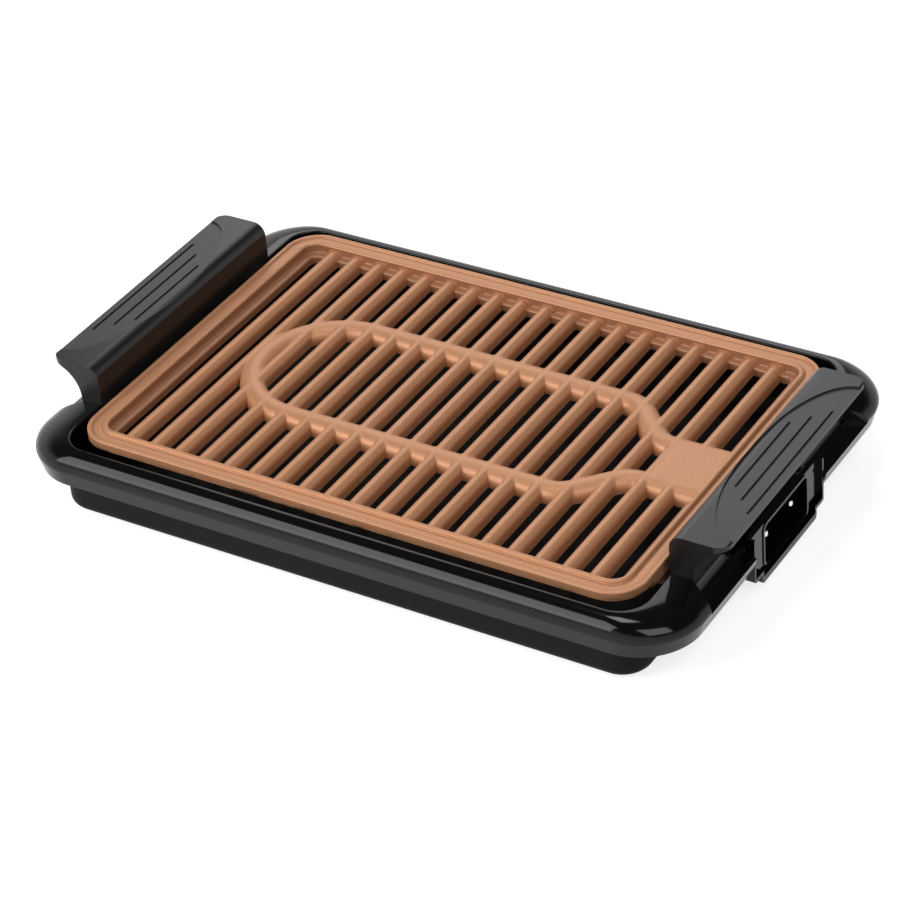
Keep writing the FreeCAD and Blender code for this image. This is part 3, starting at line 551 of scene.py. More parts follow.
def put_in_scene(name: str, data: bpy.types.ID) -> bpy.types.Object:
    """Put a mesh, curve, lamp or camera in the scene.

    Args:
        name: The object's name.
        data: What it holds.

    Returns:
        The new object.
    """
    item = bpy.data.objects.new(name, data)
    bpy.context.scene.collection.objects.link(item)
    return item


def add_piece(name: str, mesh: bpy.types.Mesh, body: Body, slot: Slot, *nodes: str) -> None:
    """Put a finished mesh in the scene as a piece of one body.

    Args:
        name: The piece's name.
        mesh: Its mesh, in metres and in the frame's place.
        body: The body it moves with.
        slot: The record's slot of its finish; not used.
        nodes: The CAD nodes it stands for.
    """
    piece = put_in_scene(name, mesh)
    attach(piece, body.value)
    if nodes:
        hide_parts(*nodes)
    log.info("made %s: %d faces", name, len(mesh.polygons))


def mesh_of(name: str, points: list[Point3], faces: list[list[int]],
            material: bpy.types.Material | None = None) -> bpy.types.Mesh:
    """Make a closed mesh.

    Args:
        name: The mesh's name.
        points: Its points in millimetres.
        faces: Its faces, which index the points.
        material: Its material, if it has one.

    Returns:
        The mesh, merged, turned outwards and smoothed.
    """
    mesh = bpy.data.meshes.new(name)
    mesh.from_pydata((np.asarray(points, float) * MM).tolist(), [], faces)
    if material:
        mesh.materials.append(material)
    tidy(mesh)
    return mesh


def tidy(mesh: bpy.types.Mesh, angle: float = SMOOTH_ANGLE) -> None:
    """Merge doubled points, turn faces outwards and smooth the blunter edges.

    Args:
        mesh: The mesh.
        angle: Edges below this many degrees are smoothed.
    """
    shape = bmesh.new()
    shape.from_mesh(mesh)
    bmesh.ops.remove_doubles(shape, verts=shape.verts, dist=MERGE_DISTANCE * MM)
    bmesh.ops.dissolve_degenerate(shape, edges=shape.edges, dist=SLIVER * MM)
    bmesh.ops.recalc_face_normals(shape, faces=shape.faces)
    for face in shape.faces:
        face.smooth = True
    for edge in shape.edges:
        edge.smooth = edge.is_manifold and edge.calc_face_angle(math.pi) < math.radians(angle)
    shape.to_mesh(mesh)
    shape.free()


def baked(holder: bpy.types.Object) -> bpy.types.Mesh:
    """Turn a helper object's modifiers into a plain mesh and remove the helper.

    Args:
        holder: The helper object.

    Returns:
        The mesh.
    """
    graph = bpy.context.evaluated_depsgraph_get()
    mesh = bpy.data.meshes.new_from_object(holder.evaluated_get(graph))
    bpy.data.objects.remove(holder)
    return mesh


def wear(mesh: bpy.types.Mesh, material: bpy.types.Material) -> None:
    """Give a mesh one material in place of those that its helpers left on it."""
    mesh.materials.clear()
    mesh.materials.append(material)


def rounded_outline(half_x: float, half_y: float, radius: float, per_corner: int = 14) -> list[Point2]:
    """Return a rounded rectangle, counter-clockwise from its right side.

    Args:
        half_x: Half its length.
        half_y: Half its width.
        radius: The radius of its corners.
        per_corner: Steps in each corner.

    Returns:
        Its points.
    """
    points = []
    for corner, (side_x, side_y) in enumerate(((1, 1), (-1, 1), (-1, -1), (1, -1))):
        centre = (side_x * (half_x - radius), side_y * (half_y - radius))
        points += arc(centre, radius, 90.0 * corner, 90.0 * (corner + 1), per_corner)
    return points


def arc(centre: Point2, radius: float, start: float, end: float, steps: int = 6) -> list[Point2]:
    """Return points on an arc, with its angles in degrees."""
    turns = [math.radians(start + (end - start) * step / steps) for step in range(steps + 1)]
    return [(centre[0] + radius * math.cos(turn), centre[1] + radius * math.sin(turn)) for turn in turns]


def eased(steps: int) -> np.ndarray:
    """Return values from 0 to 1 that lie closer together towards both ends."""
    return 0.5 - 0.5 * np.cos(np.linspace(0.0, math.pi, steps))


def both_sides(right: list[Point2]) -> list[Point2]:
    """Return the right half of an outline with its mirror image."""
    return right + [(-y, z) for y, z in reversed(right)]


def shell_faces(rows: int, columns: int) -> list[list[int]]:
    """Return the faces of a closed shell: a top grid, a base grid below it and walls between.

    Args:
        rows: Points along each grid.
        columns: Points across each grid.

    Returns:
        Faces that index the top grid's points and then the base grid's.
    """
    base = rows * columns
    faces = []
    for row in range(rows - 1):
        for column in range(columns - 1):
            corner = row * columns + column
            quad = [corner, corner + 1, corner + columns + 1, corner + columns]
            faces += [quad, [base + index for index in reversed(quad)]]
    edge = list(range(columns))
    edge += [row * columns + columns - 1 for row in range(1, rows)]
    edge += [(rows - 1) * columns + column for column in range(columns - 2, -1, -1)]
    edge += [row * columns for row in range(rows - 2, 0, -1)]
    for first, second in zip(edge, edge[1:] + edge[:1]):
        faces.append([second, first, base + first, base + second])
    return faces


def stack_faces(count: int, rings: int = 2, start: int = 0) -> list[list[int]]:
    """Return the faces of a closed solid made of outlines that follow each other.

    Args:
        count: Points in each outline.
        rings: How many outlines there are.
        start: Index of the first outline's first point.

    Returns:
        Faces that index the outlines' points in order.
    """
    faces = []
    for ring in range(start, start + count * (rings - 1), count):
        faces += [[ring + i, ring + (i + 1) % count, ring + count + (i + 1) % count, ring + count + i]
                  for i in range(count)]
    last = start + count * (rings - 1)
    return faces + [list(range(start, start + count)), list(range(last, last + count))]


class GeometryGroups:
    """Geometry node groups for rows and sweeps. Each is made once."""

    kind = "GeometryNodeTree"
    material = "NodeSocketMaterial"
    item = "NodeSocketObject"
    shape = {"Mesh": "NodeSocketGeometry"}

    @staticmethod
    def close(group: Started, shape: bpy.types.NodeSocket) -> bpy.types.NodeTree:
        """End a group in Realize Instances and Set Material.

        Args:
            group: The group as it was started.
            shape: The geometry to end with.

        Returns:
            The finished group.
        """
        kit, io, out = group
        whole = kit.add("GeometryNodeRealizeInstances", Geometry=shape)
        dressed = kit.add("GeometryNodeSetMaterial", Geometry=whole.outputs[0], Material=io["Material"])
        kit.fill(out, {"Mesh": dressed.outputs[0]})
        return kit.tree

    @classmethod
    @cache
    def row(cls) -> bpy.types.NodeTree:
        """Make a centred row of copies of one object along X.

        Returns:
            The group.
        """
        inputs = {"Copy": cls.item, "Count": "NodeSocketInt", "Pitch": NUMBER, "Material": cls.material}
        group = start_group("Row", cls.kind, inputs, cls.shape)
        kit, io, _ = group
        span = kit.maths("MULTIPLY", kit.maths("SUBTRACT", io["Count"], 1.0), io["Pitch"])
        first = kit.add("ShaderNodeCombineXYZ", X=kit.maths("MULTIPLY", span, -0.5))
        step = kit.add("ShaderNodeCombineXYZ", X=io["Pitch"])
        line = kit.add("GeometryNodeMeshLine", Count=io["Count"], Start_Location=first.outputs[0],
                       Offset=step.outputs[0])
        copy = kit.add("GeometryNodeObjectInfo", Object=io["Copy"])
        placed = kit.add("GeometryNodeInstanceOnPoints", Points=line.outputs[0],
                         Instance=copy.outputs["Geometry"])
        return cls.close(group, placed.outputs[0])

    @classmethod
    @cache
    def sweep(cls) -> bpy.types.NodeTree:
        """Make a profile carried along a level path: its X lies to the right of travel, its Y points down.

        Returns:
            The group.
        """
        inputs = {"Path": cls.item, "Profile": cls.item, "Material": cls.material}
        group = start_group("Sweep", cls.kind, inputs, cls.shape)
        kit, io, _ = group
        path = kit.add("GeometryNodeObjectInfo", Object=io["Path"])
        profile = kit.add("GeometryNodeObjectInfo", Object=io["Profile"])
        level = kit.add("GeometryNodeSetCurveNormal", Curve=path.outputs["Geometry"])
        level.mode = "Z_UP"
        swept = kit.add("GeometryNodeCurveToMesh", Curve=level.outputs[0],
                        Profile_Curve=profile.outputs["Geometry"])
        return cls.close(group, swept.outputs[0])

    @staticmethod
    def run(name: str, tree: bpy.types.NodeTree, **values: object) -> bpy.types.Mesh:
        """Run a group and remove the helper objects that it reads.

        Args:
            name: The mesh's name.
            tree: The group.
            values: Its inputs by name.

        Returns:
            A plain mesh with no modifier on it.
        """
        holder = put_in_scene(name, bpy.data.meshes.new(f"{name}_holder"))
        modifier = holder.modifiers.new("Shape", "NODES")
        modifier.node_group = tree
        sockets = {item.name: item.identifier for item in tree.interface.items_tree}
        for key, value in values.items():
            modifier[sockets[key]] = value
        mesh = baked(holder)
        mesh.name = name
        for value in values.values():
            if isinstance(value, bpy.types.Object):
                bpy.data.objects.remove(value)
        return mesh

    @staticmethod
    def line(name: str, points: list[Point2]) -> bpy.types.Object:
        """Make a closed helper curve in the XY plane.

        Args:
            name: The curve's name.
            points: Its points in millimetres.

        Returns:
            The helper.
        """
        curve = bpy.data.curves.new(name, "CURVE")
        curve.dimensions = "3D"
        spline = curve.splines.new("POLY")
        spline.points.add(len(points) - 1)
        for target, (x, y) in zip(spline.points, points):
            target.co = (x * MM, y * MM, 0.0, 1.0)
        spline.use_cyclic_u = True
        return put_in_scene(name, curve)


@dataclass
class GrillPlate:
    """The copper-coloured casting: bars, element bulge, pad, stepped rim and lugs."""

    looks: Looks
    # The row of bars, and the collar's growth and thickness at their ends
    count: int = 19
    pitch: float = 16.5
    bar_half: float = 4.1
    bar_top: float = 45.4
    bar_rise: float = 4.6
    bar_fullness: float = 2.1
    bar_grid: tuple[int, int] = (141, 17)
    base: float = 37.0
    wall_y: float = 108.5
    wall_overlap: float = 0.5
    collar: Pair = (1.0, 0.9)
    # The bulge, its neck's start and end on X, and the pad's
    bulge_half: float = 7.7
    bulge_top: float = 45.5
    bulge_fullness: float = 2.4
    half_gap: float = 46.3
    turn_x: float = -81.0
    neck: Pair = (88.0, 128.0)
    neck_half_gap: float = 18.0
    pad: Pair = (136.6, 166.0)
    route_steps: tuple[int, int, int] = (24, 40, 30)
    patch_grid: tuple[int, int] = (25, 11)
    scan_half: float = 90.0
    scan_step: float = 0.05
    fillet_top: float = 37.5
    blend: float = 0.5
    flank: float = 5.0
    # The rim, with width, height and rounding of its bead and crest
    rim_half: Pair = (177.6, 120.6)
    rim_corner: float = 21.0
    rim_steps: int = 20
    rim_base: float = 42.0
    rim_inset: float = 12.1
    bead: Triple = (2.6, 47.2, 0.8)
    channel_floor: float = 46.0
    channel_round: float = 0.7
    channel_line: Pair = (1.5, 0.15)
    crest: Triple = (3.2, 48.0, 1.4)
    foot_round: float = 0.8
    ledge: float = 4.8
    ledge_round: float = 1.2
    fillet_steps: int = 4
    # Margins of the worn outer wall, and of the painted shade on the inner wall and on the lines in the
    # channel
    worn_skin: float = 0.1
    dark_wall: Pair = (0.3, 1.0)
    dark_line: Triple = (0.2, 2.5, 0.12)
    # The lugs: place on X and Y, radius, height of the centre and half length
    lug: tuple[float, float, float, float, float] = (174.5, 80.0, 3.0, 40.0, 14.0)
    lug_overlap: float = 1.0
    lug_steps: int = 16
    route: np.ndarray = field(init=False)

    def __post_init__(self) -> None:
        """Lay the bulge's centre line out in plan."""
        self.route = np.array(self.centre_line())

    @property
    def copper(self) -> bpy.types.Material:
        """The coating's material."""
        return self.looks.materials[Slot.COPPER]

    def centre_line(self) -> list[Point2]:
        """Return the bulge's centre line from the pad's front edge round to its back edge.

        Returns:
            Its points in plan.
        """
        start, end = self.neck
        neck_steps, run_steps, turn_steps = self.route_steps
        swing = self.half_gap - self.neck_half_gap
        half = [(self.pad[1], -self.neck_half_gap)]
        half += [(end + (start - end) * step / neck_steps, -self.neck_half_gap - swing * rise)
                 for step, rise in enumerate(eased(neck_steps + 1))]
        half += [(start + (self.turn_x - start) * step / run_steps, -self.half_gap)
                 for step in range(1, run_steps + 1)]
        half += arc((self.turn_x, 0.0), self.half_gap, -90.0, -180.0, turn_steps)[1:]
        return half + [(x, -y) for x, y in reversed(half[:-1])]

    def distance(self, x: np.ndarray, y: np.ndarray) -> np.ndarray:
        """Return each point's distance in plan from the bulge's centre line or the pad.

        Args:
            x: The points' X.
            y: The points' Y.

        Returns:
            Their distances.
        """
        point = np.stack([x, y], axis=-1)[..., None, :]
        start, along = self.route[:-1], np.diff(self.route, axis=0)
        share = np.sum((point - start) * along, axis=-1) / np.sum(along * along, axis=-1)
        nearest = start + np.clip(share, 0.0, 1.0)[..., None] * along
        route = np.linalg.norm(point - nearest, axis=-1).min(axis=-1)
        out_x = np.maximum(np.maximum(self.pad[0] - x, x - self.pad[1]), 0.0)
        out_y = np.maximum(np.abs(y) - self.neck_half_gap, 0.0)
        return np.minimum(route, np.hypot(out_x, out_y))

    def bulge_height(self, x: np.ndarray, y: np.ndarray) -> np.ndarray:
        """Return the bulge's height, with steep flanks beside it.

        Args:
            x: The points' X.
            y: The points' Y.

        Returns:
            The height at each point.
        """
        away = self.distance(x, y)
        share = np.minimum(away / self.bulge_half, 1.0)
        inside = self.bulge_half * (1.0 - share ** self.bulge_fullness) ** (1.0 / self.bulge_fullness)
        beyond = np.maximum(away - self.bulge_half, 0.0) * self.flank
        return self.bulge_top - self.bulge_half + inside - beyond

    def blended(self, first: np.ndarray, second: np.ndarray) -> np.ndarray:
        """Return the higher of two heights with a soft cast blend where they meet.

        Args:
            first: The first heights.
            second: The second heights.

        Returns:
            The blended heights.
        """
        gap = np.abs(first - second)
        soft = np.maximum(self.blend - gap, 0.0) ** 2 / (4.0 * self.blend)
        return np.maximum(first, second) + soft

    def bar_source(self) -> bpy.types.Object:
        """Make one bar about the Y axis, with a round top and a raised collar where it meets the rim.

        Returns:
            A helper that the row copies.
        """
        along, across = self.bar_grid
        spread = -np.cos(np.linspace(0.0, math.pi, across))
        rise = (1.0 - np.abs(spread) ** self.bar_fullness) ** (1.0 / self.bar_fullness) * self.bar_rise
        out, thick = self.collar
        reach = self.wall_y - thick
        ends = [(self.wall_y + self.wall_overlap, out), (reach, out)]
        rows = [(-y, grow) for y, grow in ends]
        rows += [(y, 0.0) for y in np.linspace(-reach, reach, along)]
        rows += ends[::-1]
        points = []
        for y, grow in rows:
            height = self.bar_top - self.bar_rise + grow + rise
            points += zip(spread * (self.bar_half + grow), np.full(across, y), height)
        points += [(x, y, self.base) for x, y, _ in points]
        mesh = mesh_of("bar_source", points, shell_faces(len(rows), across), self.copper)
        return put_in_scene("bar_source", mesh)

    def bars(self) -> None:
        """Make the row of bars and lift its tops over the element's bulge."""
        mesh = GeometryGroups.run("plate_bars", GeometryGroups.row(), Copy=self.bar_source(),
                                  Count=self.count, Pitch=self.pitch * MM, Material=self.copper)
        points = np.empty(len(mesh.vertices) * 3, np.float32)
        mesh.vertices.foreach_get("co", points)
        points = points.reshape(-1, 3).astype(float) / MM
        upper = points[:, 2] > self.fillet_top
        x, y, height = points[upper].T
        points[upper, 2] = np.minimum(self.blended(height, self.bulge_height(x, y)), self.bulge_top)
        mesh.vertices.foreach_set("co", (points * MM).astype(np.float32).ravel())
        tidy(mesh)
        add_piece("plate_bars", mesh, Body.PLATE, Slot.COPPER)

    def spans(self, x: float) -> list[Pair]:
        """Return the stretches of Y that the bulge covers at one X.

        Args:
            x: The place on X.

        Returns:
            The start and end of each stretch.
        """
        y = np.linspace(-self.scan_half, self.scan_half, round(2 * self.scan_half / self.scan_step) + 1)
        covered = self.distance(np.full_like(y, x), y) <= self.bulge_half
        edges = np.flatnonzero(np.diff(np.concatenate([[False], covered, [False]]).astype(int)))
        return [(y[start], y[stop - 1]) for start, stop in zip(edges[::2], edges[1::2])]

    def bulge_patch(self, left: float, right: float) -> tuple[list[Point3], list[list[int]]]:
        """Return the bulge between two bars, with small fillets against their sides.

        Args:
            left: X of the bar's side on the left.
            right: X of the bar's side on the right.

        Returns:
            Points in millimetres, and faces that index them.
        """
        along, across = self.patch_grid
        columns = left + (right - left) * eased(across)
        fillet = self.fillet_top - np.minimum(columns - left, right - columns) * self.flank
        spans = [self.spans(x) for x in columns]
        fewest = min(len(span) for span in spans)
        points, faces = [], []
        for number in range(fewest):
            lows = np.array([span[number][0] for span in spans])
            highs = np.array([span[number if fewest > 1 else -1][1] for span in spans])
            top = []
            for share in eased(along):
                y = lows + (highs - lows) * share
                top += zip(columns, y, self.blended(self.bulge_height(columns, y), fillet))
            faces += [[len(points) + index for index in face] for face in shell_faces(along, across)]
            points += top + [(x, y, self.base) for x, y, _ in top]
        return points, faces

    def bulge(self) -> None:
        """Make the bulge over the element where it crosses the gaps between bars, and the pad."""
        points, faces = [], []
        first = -self.pitch * (self.count - 1) / 2
        for index in range(self.count):
            left = first + self.pitch * index + self.bar_half
            last = index == self.count - 1
            right = self.pad[1] if last else left + self.pitch - 2 * self.bar_half
            patch, around = self.bulge_patch(left, right)
            faces += [[len(points) + corner for corner in face] for face in around]
            points += patch
        add_piece("plate_bulge", mesh_of("plate_bulge", points, faces, self.copper), Body.PLATE, Slot.COPPER)

    def rim_profile(self) -> list[Point2]:
        """Return the rim's section: the offset outwards from its edge, and the height turned downwards.

        Returns:
            Its points, from the foot of the outer wall over the bead, the channel and the crest.
        """
        bead, bead_top, bead_round = self.bead
        crest, crest_top, crest_round = self.crest
        floor, bend = self.channel_floor, self.channel_round
        foot, shoulder = self.foot_round, self.ledge_round
        line, line_rise = self.channel_line
        steps = self.fillet_steps
        inner = -self.rim_inset
        outer_crest = inner + crest
        inside = inner - self.ledge
        points = [(0.0, self.rim_base), (0.0, bead_top - bead_round)]
        points += arc((-bead_round, bead_top - bead_round), bead_round, 0.0, 90.0)
        points += arc((bead_round - bead, bead_top - bead_round), bead_round, 90.0, 180.0)
        points += arc((-bead - bend, floor + bend), bend, 0.0, -90.0, steps)
        points += [(-bead - line, floor + line_rise), (outer_crest + line, floor + line_rise)]
        points += arc((outer_crest + bend, floor + bend), bend, -90.0, -180.0, steps)
        points += arc((outer_crest - crest_round, crest_top - crest_round), crest_round, 0.0, 90.0)
        points += arc((inner + crest_round, crest_top - crest_round), crest_round, 90.0, 180.0)
        points += arc((inner - foot, self.rim_base + foot), foot, 0.0, -90.0, steps)
        points += arc((inside + shoulder, self.rim_base - shoulder), shoulder, 90.0, 180.0, steps)
        points += [(inside, self.base), (outer_crest, self.base), (outer_crest, self.rim_base)]
        return [(offset, -height) for offset, height in points]

    def rim_marks(self, inset: float, height: float) -> tuple[bool, bool]:
        """Say where a point lies on the rim.

        Args:
            inset: Its distance in plan from the rim's edge.
            height: Its height.

        Returns:
            Whether it is on the outer wall, and whether it gets painted shade on the inner wall or a channel
            line.
        """
        margin, below = self.dark_wall
        before, short, above = self.dark_line
        # Painted shade: the inner wall below the crest and the low lines in the channel are marked for a
        # darker colour.
        walled = inset > self.rim_inset - margin and height < self.crest[1] - below
        sunk = self.bead[0] - before < inset < self.rim_inset - short and height < self.channel_floor + above
        return inset < self.worn_skin, walled or sunk

    def rim(self) -> None:
        """Make the stepped rim by carrying its section round the plate's edge."""
        outline = rounded_outline(*self.rim_half, self.rim_corner, self.rim_steps)
        path = GeometryGroups.line("rim_path", outline)
        profile = GeometryGroups.line("rim_profile", self.rim_profile())
        mesh = GeometryGroups.run("plate_rim", GeometryGroups.sweep(), Path=path, Profile=profile,
                                  Material=self.copper)
        tidy(mesh)
        outer = mesh.attributes.new("outer_wall", "FLOAT", "POINT")
        # Painted shade: the recess attribute marks the inner wall and channel lines that the coating darkens.
        recess = mesh.attributes.new("recess", "FLOAT", "POINT")
        for vertex in mesh.vertices:
            past_x = abs(vertex.co.x) / MM - self.rim_half[0] + self.rim_corner
            past_y = abs(vertex.co.y) / MM - self.rim_half[1] + self.rim_corner
            out = math.hypot(max(past_x, 0.0), max(past_y, 0.0)) + min(max(past_x, past_y), 0.0)
            worn, in_painted_shade = self.rim_marks(self.rim_corner - out, vertex.co.z / MM)
            outer.data[vertex.index].value = float(worn)
            recess.data[vertex.index].value = float(in_painted_shade)
        add_piece("plate_rim", mesh, Body.PLATE, Slot.COPPER, "grill_plate")

    def lugs(self) -> None:
        """Make the four round-bottomed lugs under the rim."""
        middle, across, radius, centre, half = self.lug
        top = self.rim_base + self.lug_overlap
        outline = [(radius, top)] + arc((0.0, centre), radius, 0.0, -180.0, self.lug_steps) + [(-radius, top)]
        points, faces = [], []
        for side_x in (-1, 1):
            for side_y in (-1, 1):
                faces += stack_faces(len(outline), start=len(points))
                for y in (side_y * across - half, side_y * across + half):
                    points += [(side_x * middle + x, y, z) for x, z in outline]
        add_piece("plate_lugs", mesh_of("plate_lugs", points, faces, self.copper), Body.PLATE, Slot.COPPER)

    def build(self) -> None:
        """Make all pieces of the plate."""
        self.bars()
        self.bulge()
        self.rim()
        self.lugs()


def prism(name: str, outline: list[Point2], reach: list[float]) -> bpy.types.Object:
    """Make a helper solid from an outline in XZ, reaching to both sides of Y at each of its points."""
    points = [(x, side * y, z) for side in (-1, 1) for (x, z), y in zip(outline, reach)]
    return put_in_scene(name, mesh_of(name, points, stack_faces(len(outline))))


def slab(name: str, outline: list[Point2], start: float, end: float) -> bpy.types.Object:
    """Make a helper solid from an outline in YZ, between two places on X."""
    points = [(x, y, z) for x in (start, end) for y, z in outline]
    return put_in_scene(name, mesh_of(name, points, stack_faces(len(outline))))


class Change(Enum):
    """What a helper solid does to a piece."""

    ADD = "UNION"
    CUT = "DIFFERENCE"


Steps = list[tuple[Change, bpy.types.Object]]


def carve(mesh: bpy.types.Mesh, steps: Steps) -> bpy.types.Mesh:
    """Add and cut helper solids one after another, and remove the helpers.

    Args:
        mesh: The closed mesh to start from.
        steps: Changes and their helper solids, in order.

    Returns:
        The changed mesh.
    """
    holder = put_in_scene(f"{mesh.name}_carved", mesh)
    for change, helper in steps:
        modifier = holder.modifiers.new(helper.name, "BOOLEAN")
        modifier.operation = change.value
        modifier.solver = "EXACT"
        modifier.object = helper
    result = baked(holder)
    for _, helper in steps:
        bpy.data.objects.remove(helper)
    return result


def bevelled(mesh: bpy.types.Mesh, width: float) -> bpy.types.Mesh:
    """Round a mesh's sharp edges and keep its wide faces evenly shaded.

    Args:
        mesh: The closed mesh.
        width: The rounding's width in millimetres.

    Returns:
        The rounded mesh.
    """
    tidy(mesh, angle=180.0)
    holder = put_in_scene(f"{mesh.name}_bevelled", mesh)
    modifier = holder.modifiers.new("edges", "BEVEL")
    modifier.width = width * MM
    modifier.segments = BEVEL_SEGMENTS
    modifier.limit_method = "ANGLE"
    modifier.angle_limit = math.radians(BEVEL_ANGLE)
    modifier.use_clamp_overlap = True
    modifier.miter_outer = "MITER_ARC"
    normals = holder.modifiers.new("normals", "WEIGHTED_NORMAL")
    normals.keep_sharp = True
    normals.weight = FACE_WEIGHT
    return baked(holder)


@dataclass
class BrimFrame:
    """The glossy domed frame with handle seats, finger scoops and the inlet's opening."""

    looks: Looks
    # Half length, half width, corner radius and height of the outer crease and of the inner lip
    crease: tuple[float, float, float, float] = (211.0, 138.3, 36.5, 32.8)
    lip: tuple[float, float, float, float] = (183.3, 127.1, 17.5, 43.6)
    lip_flat: float = 1.3
    lip_round: float = 1.0
    tuck: Pair = (2.6, 1.5)
    band_base: float = 23.5
    band_shares: Triple = (0.05, 0.5, 0.95)
    dome_angles: tuple[float, ...] = (0.0, 1.0, 4.0, 9.0, *range(16, 80, 8), 79.0, 85.0, 90.0)
    corner_steps: int = 28
    wall: float = 3.0
    seat: float = 26.0
    groove_top: float = 37.0
    # The handle's seat and the finger scoop, in X and height
    handle_seat: float = 38.5
    seat_thick: float = 3.2
    handle_half: float = 86.3
    scoop_x: float = 196.5
    scoop_foot: float = 41.0
    scoop_floor: Point2 = (203.8, 34.2)
    scoop_bend: float = 0.9
    scoop_steps: int = 8
    scoop_overlap: float = 0.05
    kerb: Point2 = (214.0, 30.2)
    scoop_half: float = 86.6
    scoop_flare: float = 0.6
    cheek: float = 3.0
    # The inlet's start on X and half width, the terminals' tunnel, and how far the cuts reach past the frame
    inlet: Pair = (199.0, 42.2)
    inlet_top: float = 50.0
    tunnel: Pair = (27.0, 35.0)
    tunnel_overlap: float = 0.5
    past_top: float = 20.0
    past_lip: float = 4.0
    past_kerb: float = 2.0
    past_base: float = 5.0
    edge: float = 0.5

    def sections(self) -> list[tuple[float, float, float, float]]:
        """Return the frame's rings, all the way round its section.

        Returns:
            Half length, half width, corner radius and height of each ring.
        """
        length, width, corner, height = self.crease
        lip_x, lip_y, lip_corner, top = self.lip
        flat, curve, wall = self.lip_flat, self.lip_round, self.wall
        low = (length - self.tuck[0], width - self.tuck[1], corner - self.tuck[1])
        rings = [(*low, self.band_base)]
        for share in self.band_shares:
            grown = [part + (whole - part) * share for part, whole in zip(low, (length, width, corner))]
            rings.append((*grown, self.band_base + (height - self.band_base) * share))
        for angle in self.dome_angles:
            run = 1.0 - math.cos(math.radians(angle))
            rings.append((length - (length - lip_x - flat) * run, width - (width - lip_y - flat) * run,
                          corner - (corner - lip_corner - flat) * run,
                          height + (top - height) * math.sin(math.radians(angle))))
        for out, down in arc((curve, -curve), curve, 90.0, 180.0):
            rings.append((lip_x + out, lip_y + out, lip_corner + out, top + down))
        rings.append((lip_x, lip_y, lip_corner, self.seat))
        for level in (self.seat, self.groove_top):
            rings.append((lip_x + wall, lip_y + wall, lip_corner + wall, level))
        inner = tuple(part - wall for part in low)
        return rings + [(*inner, self.groove_top), (*inner, self.band_base)]

    def ring(self) -> bpy.types.Mesh:
        """Skin the sections into one closed ring.

        Returns:
            The ring's mesh.
        """
        points, faces = [], []
        rings = self.sections()
        for half_x, half_y, corner, height in rings:
            outline = rounded_outline(half_x, half_y, corner, self.corner_steps)
            points += [(x, y, height) for x, y in outline]
        count = len(points) // len(rings)
        for row in range(len(rings)):
            above = (row + 1) % len(rings)
            for index in range(count):
                after = (index + 1) % count
                faces.append([row * count + index, row * count + after, above * count + after,
                              above * count + index])
        return mesh_of("brim", points, faces, self.looks.materials[Slot.GLOSS])

    def scoop(self) -> list[Point2]:
        """Return the finger scoop's section: a wall that bends into a floor, and the kerb.

        Returns:
            Its points in X and height.
        """
        floor_x, floor = self.scoop_floor
        run, drop, bend = floor_x - self.scoop_x, floor - self.scoop_foot, self.scoop_bend
        high = self.lip[3] + self.past_top
        points = [(self.scoop_x - self.scoop_overlap, high)]
        for step in range(self.scoop_steps + 1):
            share = step / self.scoop_steps
            curve = bend * share ** 2
            points.append((self.scoop_x + (curve + (1.0 - bend) * share) * run,
                           self.scoop_foot + ((1.0 + bend) * share - curve) * drop))
        return points + [self.kerb, (self.kerb[0], high)]

    def end_steps(self, end: End) -> Steps:
        """Make the block, handle seat and finger scoop of one end.

        Args:
            end: The end.

        Returns:
            The changes, in order.
        """
        lip_x, top = self.lip[0], self.lip[3]
        crease_x, crease_z = self.crease[0], self.crease[3]
        floor_x, floor = self.scoop_floor
        thick, half_wall = self.seat_thick, self.wall / 2
        block = [(lip_x, self.handle_seat - thick), (lip_x, top - half_wall),
                 (self.scoop_x, top - self.wall), (floor_x, crease_z + 2 * self.wall),
                 (crease_x - half_wall, crease_z + half_wall), (crease_x - half_wall, self.kerb[1] - thick),
                 (floor_x, floor - thick), (self.scoop_x, self.handle_seat - thick)]
        start, high = lip_x - self.past_lip, top + self.past_top
        seat = [(start, self.handle_seat), (self.scoop_x, self.handle_seat), (self.scoop_x, high),
                (start, high)]
        scoop = self.scoop()
        flare = [self.scoop_half + max(x - self.scoop_x, 0.0) * self.scoop_flare for x, _ in scoop]
        reaches = ([max(flare) + self.cheek] * len(block), [self.handle_half] * len(seat), flare)
        changes = (("block", Change.ADD, block), ("seat", Change.CUT, seat), ("scoop", Change.CUT, scoop))
        return [(change, prism(f"{end.word}_{name}", [(x * end.value, z) for x, z in outline], reach))
                for (name, change, outline), reach in zip(changes, reaches)]

    def inlet_steps(self) -> Steps:
        """Make the cuts for the inlet's surround and the terminals.

        Returns:
            The changes, in order.
        """
        start, half = self.inlet
        narrow, ceiling = self.tunnel
        low, high = self.band_base - self.past_base, self.inlet_top
        outer, inner = self.kerb[0] + self.past_kerb, self.lip[0] - self.past_lip
        join = start + self.tunnel_overlap
        notch = [(start, low), (outer, low), (outer, high), (start, high)]
        tunnel = [(inner, low), (join, low), (join, ceiling), (inner, ceiling)]
        return [(Change.CUT, prism("inlet_notch", notch, [half] * len(notch))),
                (Change.CUT, prism("terminal_tunnel", tunnel, [narrow] * len(tunnel)))]

    def build(self) -> None:
        """Make the frame and let it stand for its CAD node."""
        steps = self.end_steps(End.LEFT) + self.end_steps(End.RIGHT) + self.inlet_steps()
        mesh = bevelled(carve(self.ring(), steps), self.edge)
        wear(mesh, self.looks.materials[Slot.GLOSS])
        add_piece("brim", mesh, Body.FRAME, Slot.GLOSS, "brim_frame")


